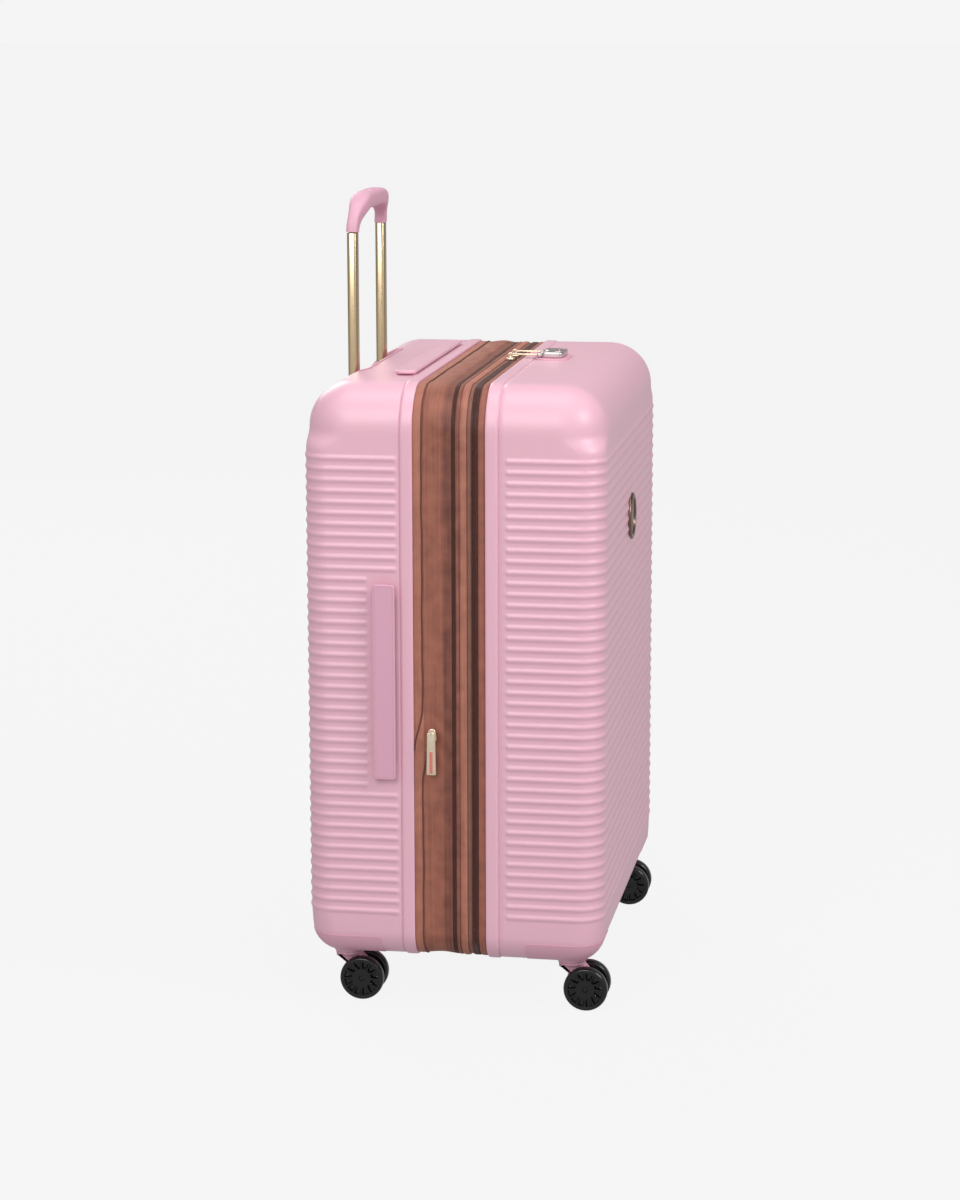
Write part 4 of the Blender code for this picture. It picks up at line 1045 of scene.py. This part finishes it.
DISC = [(0.0, 0.0506), (0.0144, 0.0506), (0.0152, 0.0511), (0.0155, 0.0522),
        (0.0152, 0.0531), (0.0, 0.0531)]
KNOB = [(0.0, -0.0072), (0.0062, -0.0072), (0.0068, -0.0066), (0.0068, 0.0066),
        (0.0062, 0.0072), (0.0, 0.0072)]
PIN = [(0.0, -0.0195), (0.0022, -0.0195), (0.0028, -0.0190), (0.0030, -0.0182),
       (0.0030, 0.0182), (0.0028, 0.0190), (0.0022, 0.0195), (0.0, 0.0195)]
WEB_STEPS = soft_edge(-0.0062, 0.0062, 0.0014, 5)
RIB_STEPS = [[0.0034, -0.0067], [0.0030, -0.0060], [0.0030, 0.0060], [0.0034, 0.0067]]
for corner, sx, axle_y, way in CORNERS:
    at = (sx * AXLE_X, way * SWIVEL_Y, 0)
    web, rib = (plate(fork_outline(), steps, "yzx", at)
                for steps in (WEB_STEPS, RIB_STEPS))
    axle_at = (sx * AXLE_X, axle_y, WHEEL_R)
    piece("caster_fork_piece_" + corner, [
        web, rib, turned(DISC, 48, "xyz", at), turned(KNOB, 32, "yzx", axle_at)],
        TRIM_PINK, "fork_" + corner, ["caster_fork_" + corner], 40)
    piece("wheel_axle_" + corner, [turned(PIN, 24, "yzx", axle_at)], STEEL,
          "fork_" + corner, ["caster_axle_" + corner], 40)

# %% [markdown]
# Each wheel is one turned shape whose side is sunk between its spokes: the
# distance from the middle plane is a function of radius and angle, lower where
# the radius lies between hub and rim and the angle between two of the 12 spokes.

# %% Twin wheels
SPOKES, AROUND = 12, 144
POCKET_IN, POCKET_OUT = 0.0108, 0.0190


def wheel_side(r, a):
    """Height of a wheel's side over its middle plane: tyre edge, rim, twelve wedge
    pockets 4 mm deep, and hub. A spoke keeps its width, so its half angle is
    width / (2 r)."""
    between = smooth((r - POCKET_IN) / 0.0007) * (1 - smooth((r - POCKET_OUT) / 0.0007))
    half_spoke = 0.0011 / np.maximum(r, 0.004)
    pitch = 2 * math.pi / SPOKES
    off = np.abs(np.mod(a, pitch) - pitch / 2)
    half_gap = pitch / 2 - half_spoke - 0.0006 / np.maximum(r, .004)
    gap = 1 - smooth((off - half_gap) / 0.05)
    dish = 0.0010 * np.clip((0.0188 - r) / 0.012, 0, 1)
    return 0.0061 - dish - 0.0040 * between * gap


def wheel(centre):
    """Side rows from the axle out, a round tyre, and the other side's rows back
    in; every row has the same number of points round it."""
    a = np.linspace(0, 2 * math.pi, AROUND, endpoint=False)[None]
    r = np.array([0.0031, 0.0034, 0.0060, 0.0090, 0.0102, .0108, .0111, .0115, .0125,
                  .0140, .0155, .0170, .0184, .0190, .0194, .0197, .0202])[:, None]
    side = wheel_side(r, a)
    side = side + np.where(r < 0.0092, 0.0003, 0.0)
    left = np.stack([r * np.cos(a), r * np.sin(a), side], -1)
    b = np.radians(np.linspace(90, -90, 15))
    tyre_r = 0.0212 + 0.0038 * squarer(np.cos(b), 0.7)
    tyre_h = 0.0065 * squarer(np.sin(b), 0.7)
    tyre = np.stack([tyre_r[:, None] * np.cos(a), tyre_r[:, None] * np.sin(a),
                     tyre_h[:, None] + 0 * a], -1)
    right = left[::-1] * [1, 1, -1]
    return torus(place(np.concatenate([left, tyre, right]), "yzx", centre))


def tyre_band(centre):
    """Rubber tread: a thin hoop round the wheel, a hair proud of it."""
    b = np.radians(np.linspace(0, 360, 21)[:-1])
    profile = np.stack([0.02235 + 0.00262 * squarer(np.cos(b), 0.6),
                        0.0058 * squarer(np.sin(b), 0.6)], 1)
    return turned(profile, 96, "yzx", centre, closed=True)


WHEEL_OUT = 0.014
for corner, sx, axle_y, way in CORNERS:
    for side, out in (("left", -1), ("right", 1)):
        centre = (sx * AXLE_X + out * WHEEL_OUT, axle_y, WHEEL_R)
        body = f"spin_{corner}_{side}"
        piece(f"spoked_wheel_{corner}_{side}", [wheel(centre)], BLACK,
              body, [f"wheel_{corner}_{side}"], 35)
        piece(f"tread_{corner}_{side}", [tyre_band(centre)], RUBBER,
              body, sharp=60)

# %% [markdown]
# ## Sliders and pull tabs
# A slider is a low wedge-shaped casting that straddles the teeth. The tab hangs
# from its back by a wire ring. Both are cast in a pale gold metal, and the long
# tab of the expander zip has an enamel inlay.

# %% Zip sliders and tabs
def spade(length, root, end):
    """Tab outline along +a: narrow root, sides that widen evenly, round far end."""
    a = np.radians(np.linspace(-90, 90, 9))
    far = np.stack([length - end / 2 + end / 2 * np.cos(a), end / 2 * np.sin(a)], 1)
    near = np.radians(np.linspace(90, 270, 9))
    start = np.stack([root / 2 + root / 2 * np.cos(near), root / 2 * np.sin(near)], 1)
    return with_normals(np.concatenate([far, start]))


def slider(axes, at, length, wide, up, way, run):
    """Slider body: lower plate that tapers to its nose, and a raised back. Axes are
    (along the zip, across it, outwards); way is the outward sign and run the nose's."""
    line, normal = rounded_box(length, wide, wide * 0.38, 8)
    taper = 1 - 0.22 * smooth((line[:, 0] * run / length) + 0.5)
    line = line * np.stack([np.ones(len(line)), taper], 1)
    base_steps = soft_edge(0, up * 0.55, up * 0.2, 5) * [1, way]
    ridge_steps = np.array([[0, up * 0.4], [0.0001, up * 0.8], [0.0005, up * 0.97],
                            [0.0009, up]]) * [1, way]
    ridge_line = rounded_box(length * 0.74, wide * 0.30, wide * 0.14, 6)
    return [plate((line, normal), base_steps, axes, at),
            plate(ridge_line, ridge_steps, axes, at)]


def ring_wire(axes, at, big, small, across):
    """Flattened wire ring: a circle of radius big, stretched across, with a small
    round section carried round it."""
    a = np.linspace(0, 2 * math.pi, 28, endpoint=False)
    b = np.linspace(0, 2 * math.pi, 9)[:-1]
    r = big + small * np.cos(b)[None]
    x, y = r * np.cos(a)[:, None] * across, r * np.sin(a)[:, None]
    abc = np.stack([x, y, small * np.sin(b)[None] + 0 * x], -1)
    return torus(place(abc, axes, at))


MAIN_Y, TAB_Z = -0.02285, 0.7103
THICK_STEPS = soft_edge(-0.0008, 0.0008, 0.0005, 4)
SUNK_FACE = [[0.0011, 0.0008], [0.0013, 0.0005], [0.003, 0.0005]]
tab_line, tab_normal = (side * [-1, 1] for side in spade(0.0350, 0.0044, 0.0070))
for k, x, run in ((1, 0.019, -1), (2, 0.051, 1)):
    casting = slider("xyz", (x, MAIN_Y, 0.7038), 0.0120, 0.0108, 0.0047, 1, run)
    piece(f"main_slider_piece_{k}", casting, PULL_GOLD, f"slider_{k}",
          [f"main_slider_{k}"], 40)
    piece(f"main_tab_piece_{k}", [
        plate((tab_line, tab_normal), np.concatenate([THICK_STEPS, SUNK_FACE]), "yxz",
              (x, MAIN_Y, TAB_Z)),
        ring_wire("yzx", (x, MAIN_Y, TAB_Z - 0.0006), 0.0021, 0.0006, 1.2)],
        PULL_GOLD, f"tab_{k}", [f"main_pull_tab_{k}"], 40)

# %% [markdown]
# The expander zip has a bigger slider, parked low on the left side. Its tab
# hangs straight down and widens evenly, which is a box outline with each point
# moved sideways by a share of its place along the tab.

# %% Expander slider and its long tab
EX_X, EX_Y, EX_Z = -0.2555, 0.0227, 0.3213
casting = slider("zyx", (-0.2488, EX_Y, 0.3185), 0.0150, 0.0108, 0.0047, -1, 1)
piece("expander_slider_piece", casting, PULL_GOLD, "slider_expander",
      ["expander_slider"], 40)
tab_line, tab_normal = rounded_box(0.0480, 0.0098, 0.0016)
tab_line = tab_line * np.stack([np.ones(len(tab_line)),
                                1 - 0.08 * tab_line[:, 0] / 0.024], 1)
piece("expander_tab_piece", [
    plate((tab_line, tab_normal), THICK_STEPS, "zyx", (EX_X, EX_Y, EX_Z - 0.0225)),
    ring_wire("zxy", (-0.2549, EX_Y, EX_Z + 0.0008), 0.0024, 0.0007, 1.3)],
    PULL_GOLD, "tab_expander", ["expander_pull_tab"], 40)
INLAY_STEPS = [[0.0002, 0], [0, -0.0009], [0.0005, -0.0012], [0.0010, -0.0013]]
piece("expander_tab_inlay", [plate(rounded_box(0.0250, 0.0034, 0.0010), INLAY_STEPS,
                                   "zyx", (EX_X, EX_Y, EX_Z - 0.0320))],
      RED, "tab_expander")

# %% [markdown]
# ## Combination lock
# The lock is screwed to the lid with a soft plastic seat under it. Its bright
# case has a window with three number wheels, a release button, a key barrel
# and a slot on the rim side where the two pull tabs go in.

# %% Lock case, dials and button
LOCK_X, LOCK_Y, DIAL_Y = 0.035, -0.07175, -0.07775
LOCK_AT, WINDOW_AT = (LOCK_X, LOCK_Y, 0), (LOCK_X, DIAL_Y, 0)
BARREL_AT, BUTTON_Y = (0.0190, -0.0665, 0), -0.06425
SEAT_STEPS = soft_edge(0.7042, 0.7069, 0.0009, 5)
CASE_STEPS = np.concatenate([soft_edge(0.7069, 0.7139, 0.0020, 7),
                             [[0.0030, 0.7139], [0.0034, 0.7136], [0.006, 0.7136]]])
WINDOW_STEPS = [[0, 0.7120], [0, 0.7141], [0.0003, 0.7143], [0.0008, 0.7143],
                [0.0010, 0.7139]]
BARREL = [(0.0, 0.7128), (0.0036, 0.7128), (0.0036, 0.7140), (0.0032, 0.7143),
          (0.0024, 0.7143), (0.0022, 0.7139), (0.0, 0.7139)]
LUG_STEPS = soft_edge(0.7080, 0.7122, 0.001, 4)
PRESS_STEPS = np.concatenate([soft_edge(0.7110, 0.7148, 0.0007, 4), [[0.0020, 0.7146]]])
piece("lock_seat", [plate(rounded_box(0.055, 0.0375, 0.0110, 9), SEAT_STEPS,
                          centre=LOCK_AT)],
      TRIM_PINK, "lid", ["lock_base"], 45)
lugs = [plate(rounded_box(0.0100, 0.0060, 0.0020), LUG_STEPS, centre=(x, -0.0570, 0))
        for x in (0.019, 0.051)]
piece("lock_case", [
    plate(rounded_box(0.044, 0.0265, 0.0060, 9), CASE_STEPS, centre=LOCK_AT),
    plate(rounded_box(0.0215, 0.0086, 0.0016), WINDOW_STEPS, centre=WINDOW_AT),
    turned(BARREL, 32, "xyz", BARREL_AT)] + lugs,
    CHROME, "lid", ["lock_body"], 40)
# The dark field round the number wheels and the dark bar on the key barrel are painted
# shade for the hollow behind the window and the keyhole.
piece("lock_window_painted_shade", [
    plate(rounded_box(0.0198, 0.0070, 0.001), [[0, 0.7125], [0, 0.7141]],
          centre=WINDOW_AT),
    plate(rounded_box(0.0010, 0.0038, 0.0004), [[0, 0.7135], [0, 0.7142]],
          centre=BARREL_AT)], PRINT_AND_SHADE_DARK, "lid")
piece("lock_release_button", [
    plate(rounded_box(0.0120, 0.0055, 0.0014), PRESS_STEPS,
          centre=(LOCK_X, BUTTON_Y, 0))],
    CHROME, "lock_release", ["lock_button"], 40)

# %% [markdown]
# Each number wheel is a short drum with ten notches, and the figures 0 to 9 are
# wrapped round it. They are generic and the only lettering on the case.

# %% Number wheels
DIAL_R = 0.0036


def dial(centre):
    """Number wheel: radius r (1 - small notch at each of ten places), with round
    shoulders, turned about X."""
    a = np.linspace(0, 2 * math.pi, 80, endpoint=False)[None]
    h = np.array([-0.0020, -0.0019, -0.0013, 0.0013, 0.0019, 0.0020])[:, None]
    notch = 0.00022 * np.clip(np.cos(10 * a), 0, 1) ** 6
    deep = np.array([0.0009, 0.0002, 0.0, 0.0, 0.0002, 0.0009])[:, None]
    r = DIAL_R - deep - notch
    return tube(place(np.stack([r * np.cos(a), r * np.sin(a), h + 0 * a], -1), "yzx",
                      centre))


def numbers(centre):
    """The figures 0 to 9 round a dial as thin raised letters, each a flat text made
    into a mesh and wrapped on: angle = height on the page / radius."""
    points, faces, start = [], [], 0
    for k in range(10):
        curve = bpy.data.curves.new("figure", "FONT")
        curve.body, curve.size, curve.extrude = str(k), 0.0026, 0.00008
        curve.align_x, curve.align_y = "CENTER", "CENTER"
        page = add_object("figure", curve)
        flat = bpy.data.meshes.new_from_object(
            page.evaluated_get(bpy.context.evaluated_depsgraph_get()))
        co = np.empty(len(flat.vertices) * 3)
        flat.vertices.foreach_get("co", co)
        co = co.reshape(-1, 3)
        angle = co[:, 1] / DIAL_R + math.radians(36 * k + 90)
        radius = DIAL_R + co[:, 2] * 0.7
        points.append(np.stack([co[:, 0], -radius * np.cos(angle),
                                radius * np.sin(angle)], 1) + centre)
        for polygon in flat.polygons:
            faces.append([v + start for v in polygon.vertices])
        start += len(co)
        bpy.data.objects.remove(page)
        bpy.data.meshes.remove(flat)
        bpy.data.curves.remove(curve)
    return np.concatenate(points), faces


for k, x in ((1, 0.028), (2, 0.035), (3, 0.042)):
    centre = (x, DIAL_Y, 0.7108)
    piece(f"number_wheel_{k}", [dial(centre)], PULL_GOLD, f"dial_{k}",
          [f"lock_dial_{k}"], 40)
    points, faces = numbers(centre)
    mesh = bpy.data.meshes.new(f"number_wheel_figures_{k}")
    mesh.from_pydata(points, [], faces)
    mesh.materials.append(PRINT_AND_SHADE_DARK)
    figures = add_object(f"number_wheel_figures_{k}", mesh)
    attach(figures, f"dial_{k}")

# %% [markdown]
# ## Badge
# A small round metal badge is set in the ribs of the lid's face. It has no mark:
# a plain field lies inside a bright turned ring, with a sunburst of twenty-four
# shallow rays, which is decoration and nothing more.

# %% Round badge
RAYS = 24


def badge(centre):
    """Turned plate whose field has rays: height = field + ray cos(24 angle)."""
    a = np.linspace(0, 2 * math.pi, 144, endpoint=False)[None]
    r = np.array([0.0005, 0.0030, 0.0060, 0.0090, 0.0130, 0.0170, 0.0205, 0.0212,
                  0.0218, 0.0232, 0.0250, 0.0262, 0.0269, 0.0270, 0.0270])[:, None]
    h = np.array([.0014, .0014, .0012, .0011, .0010, .0009, .0009, .0010, .0024, .0028,
                  .0028, .0024, .0014, .0004, -0.0030])[:, None]
    ray = 0.00012 * np.cos(RAYS * a) * np.clip((r - 0.004) / 0.006, 0, 1) * (r < 0.0208)
    abc = np.stack([r * np.cos(a), r * np.sin(a), h + ray], -1)
    return tube(place(abc * [1, 1, -1], "xzy", centre))


piece("round_badge", [badge((0, -0.1677, 0.527))], BRONZE, "lid",
      ["front_badge"], 40)

# %% [markdown]
# ## Inside
# Both halves are lined with a thin cloth that is glued to the tray. Two webbing
# straps with a buckle between them hold the clothes in the back half. They show
# only when the lid is open.

# %% Lining
OFF_WALL = 0.0045


def tray(rim_y, way, deep):
    """Rounded tray for a lining: rings from the rim in along the side, round the
    edge, inset = roll (1 - cos t), and over the face; twice, a thickness apart."""
    line, normal = rounded_box(2 * (OUTER_W - OFF_WALL), HIGH - LOW - 2 * OFF_WALL,
                               0.0475, 13)
    roll = 0.0455
    skins = []
    for off in (0.0, 0.0008):
        t = np.linspace(0, math.pi / 2, 9)
        inset = np.concatenate([[0, 0], (roll - off) * (1 - np.cos(t)), [0, 0, 0]]) + off
        reach = np.concatenate([[0.0015, (deep - roll) / 2],
                                deep - roll + (roll - off) * np.sin(t), [deep - off] * 3])
        flat = line[None] - inset[:, None, None] * normal[None]
        flat[-3:] = line * np.array([0.6, 0.35, 0.08])[:, None, None]
        skins.append(np.stack([flat[..., 0], rim_y + way * np.broadcast_to(
            reach[:, None], flat.shape[:2]), flat[..., 1] + (LOW + HIGH) / 2], -1))
    outer, inner = skins
    return np.concatenate([outer[::-1], inner])


for name, rim, way, deep, body, shell, flat, area in (
        ("back_lining", BACK_RIM, 1, 0.0735, "back_case", back_half,
         (0.598, 0.746), 0.430),
        ("lid_lining", FRONT_RIM, -1, HALF_DEPTH + FRONT_RIM - OFF_WALL, "lid",
         front_half, (0.700, 0.849), 0.541)):
    points = tray(rim, way, deep)
    uv = np.stack([points[..., 0] + points[..., 1], points[..., 2]], -1)
    uv = np.concatenate([uv[:1], uv, uv[-1:]]).reshape(-1, 2)
    cover = piece(name, [tube(points)], LINING, body, uv=uv, sharp=80)
    print(name, "cloth area", round(sum(f.area for f in cover.data.polygons) / 2, 4))

# %% [markdown]
# A strap's path sags evenly from the wall to the middle: its depth and height
# both follow the smooth step of the distance to the wall. The two straps meet
# under a plain buckle.

# %% Packing straps and their buckle
STRAP_X = 0.236
for name, way in (("packing_strap_low", -1), ("packing_strap_high", 1)):
    x = np.linspace(-STRAP_X, STRAP_X, 61)
    to_mid = smooth(1 - np.abs(x) / STRAP_X)
    path = np.stack([x, 0.060 + 0.020 * to_mid,
                     MID_Z + way * (0.130 - 0.113 * to_mid)], 1)
    along = unit(np.gradient(path, axis=0))
    across = unit(np.cross(along, (0, 1, 0)))
    ribbon = rounded_box(0.025, 0.0014, 0.0006, 3)[0]
    run = np.cumsum(np.linalg.norm(np.diff(path, axis=0, prepend=path[:1]), axis=1))
    uv = np.stack(np.broadcast_arrays(run[:, None], ribbon[None, :, 0]), -1)
    uv = np.concatenate([uv[:1], uv, uv[-1:]]).reshape(-1, 2)
    band = piece(name, [tube(swept(path, across, np.cross(across, along), ribbon))],
                 WEBBING, "back_case", uv=uv, sharp=60)
BUCKLE_AT = (0, 0, MID_Z)
piece("packing_buckle", [
    plate(rounded_box(0.052, 0.062, 0.008, 7), soft_edge(0.0766, 0.0840, 0.0018, 5),
          "xzy", BUCKLE_AT),
    plate(rounded_box(0.030, 0.018, 0.004, 7), soft_edge(0.0752, 0.0770, 0.0006, 4),
          "xzy", BUCKLE_AT)], GREY, "back_case")

# %% [markdown]
# ## Plain inner parts
# The channels, their foot, the cover inside and the handles' stops are simple
# shapes that are hardly seen, so the CAD meshes serve as they are. They only
# get a finish.

# %% Carried-over CAD parts get their finishes
GIVEN = {"trolley_channel": ALLOY, "channel_foot": GREY, "trolley_cover": GREY,
         "side_handle_stop": GREY, "top_handle_stop": GREY}
for name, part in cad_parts.items():
    for start, paint in GIVEN.items():
        if name.startswith(start):
            part.data.materials.clear()
            part.data.materials.append(paint)
left_plain = [n for n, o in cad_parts.items() if not o.hide_render
              and not n.startswith(tuple(GIVEN))]
print("CAD nodes still plain:", left_plain)

# %% [markdown]
# ## Floor, light and camera
# The case stands on a pale floor under big soft lamps. Two light the side and
# the front that face the camera, one hangs above, and one behind keeps the far
# side from going dull. The sky is pale, and brighter on one side, which gives
# the metal something to mirror.

# %% Pale floor
floor_paint, tree, skin = new_paint("pale_floor")
direct = node(tree, "LightPath")
shine = node(tree, "MapRange", Value=direct.outputs["Is Camera Ray"])
shine.inputs["To Min"].default_value = 0.50
shine.inputs["To Max"].default_value = 0.97
PALE = (0.913, 0.913, 0.913, 1)
glow = node(tree, "Emission", Color=PALE)
tree.links.new(shine.outputs["Result"], glow.inputs["Strength"])
matt = node(tree, "BsdfDiffuse", Color=(0.03, 0.03, 0.03, 1))
both = node(tree, "AddShader")
tree.links.new(glow.outputs[0], both.inputs[0])
tree.links.new(matt.outputs[0], both.inputs[1])
tree.links.new(both.outputs[0], tree.nodes["Material Output"].inputs["Surface"])
FLOOR = 60.0
floor_mesh = bpy.data.meshes.new("floor")
floor_mesh.from_pydata([(-FLOOR, -FLOOR, 0), (FLOOR, -FLOOR, 0), (FLOOR, FLOOR, 0),
                        (-FLOOR, FLOOR, 0)], [], [(0, 1, 2, 3)])
floor_mesh.materials.append(floor_paint)
add_object("floor", floor_mesh)

# %% [markdown]
# The sky's strength follows the angle between a ray and one direction, so that it
# works like a wide soft screen, but the background itself stays even.

# %% Soft lamps and sky
world = bpy.data.worlds.new("studio")
bpy.context.scene.world = world
world.use_nodes = True
sky = world.node_tree.nodes["Background"]
sky.inputs["Color"].default_value = PALE
air = world.node_tree
seen = node(air, "LightPath")
facing = node(air, "VectorMath", operation="DOT_PRODUCT")
air.links.new(node(air, "TexCoord").outputs["Generated"], facing.inputs[0])
facing.inputs[1].default_value = (-0.90, -0.15, 0.30)
screen = node(air, "MapRange", Value=facing.outputs["Value"],
              interpolation_type="SMOOTHSTEP")
for key, value in (("From Min", 0.0), ("From Max", 0.9), ("To Min", 0.36),
                   ("To Max", 0.80)):
    screen.inputs[key].default_value = value
dim = node(air, "MapRange", Value=seen.outputs["Is Camera Ray"])
air.links.new(screen.outputs["Result"], dim.inputs["To Min"])
dim.inputs["To Max"].default_value = 1.0
air.links.new(dim.outputs["Result"], sky.inputs["Strength"])


def lamp(name, at, towards, size, watts):
    """Square area lamp of the given side, turned to shine towards a point."""
    data = bpy.data.lights.new(name, "AREA")
    data.size, data.energy = size, watts
    made = add_object(name, data)
    made.location = at
    shine_along = Vector(towards) - Vector(at)
    made.rotation_euler = shine_along.to_track_quat("-Z", "Y").to_euler()


MIDDLE = (0, 0, 0.4)
lamp("main_lamp", (-2.9, 0.5, 2.3), MIDDLE, 1.6, 40)
lamp("front_lamp", (-1.2, -2.6, 2.3), MIDDLE, 1.2, 44)
lamp("top_lamp", (-0.3, 0.1, 3.0), MIDDLE, 1.4, 19)
lamp("far_lamp", (2.8, 1.8, 2.2), MIDDLE, 1.6, 40)

# %% [markdown]
# A long lens from well away keeps the case's upright edges nearly parallel. The
# camera is placed by three angles: turn, lift, and a very small roll.

# %% Camera
CAMERA_AT = (-3.46269, -0.57402, 1.12671)
TURN, LIFT, ROLL = (math.radians(v) for v in (-80.414, 11.350, -0.141))
back = Vector((math.sin(TURN) * math.cos(LIFT), -math.cos(TURN) * math.cos(LIFT),
               math.sin(LIFT)))
ahead = -back
right = ahead.cross(Vector((0, 0, 1))).normalized()
up = right.cross(ahead)
right, up = (right * math.cos(ROLL) + up * math.sin(ROLL),
             up * math.cos(ROLL) - right * math.sin(ROLL))
lens = bpy.data.cameras.new("camera")
lens.lens, lens.sensor_width = 91.41, 36.0
eye = add_object("camera", lens)
eye.location = CAMERA_AT
eye.rotation_euler = Matrix((right, up, back)).transposed().to_euler()
bpy.context.scene.camera = eye
bpy.context.scene.view_settings.view_transform = "Standard"
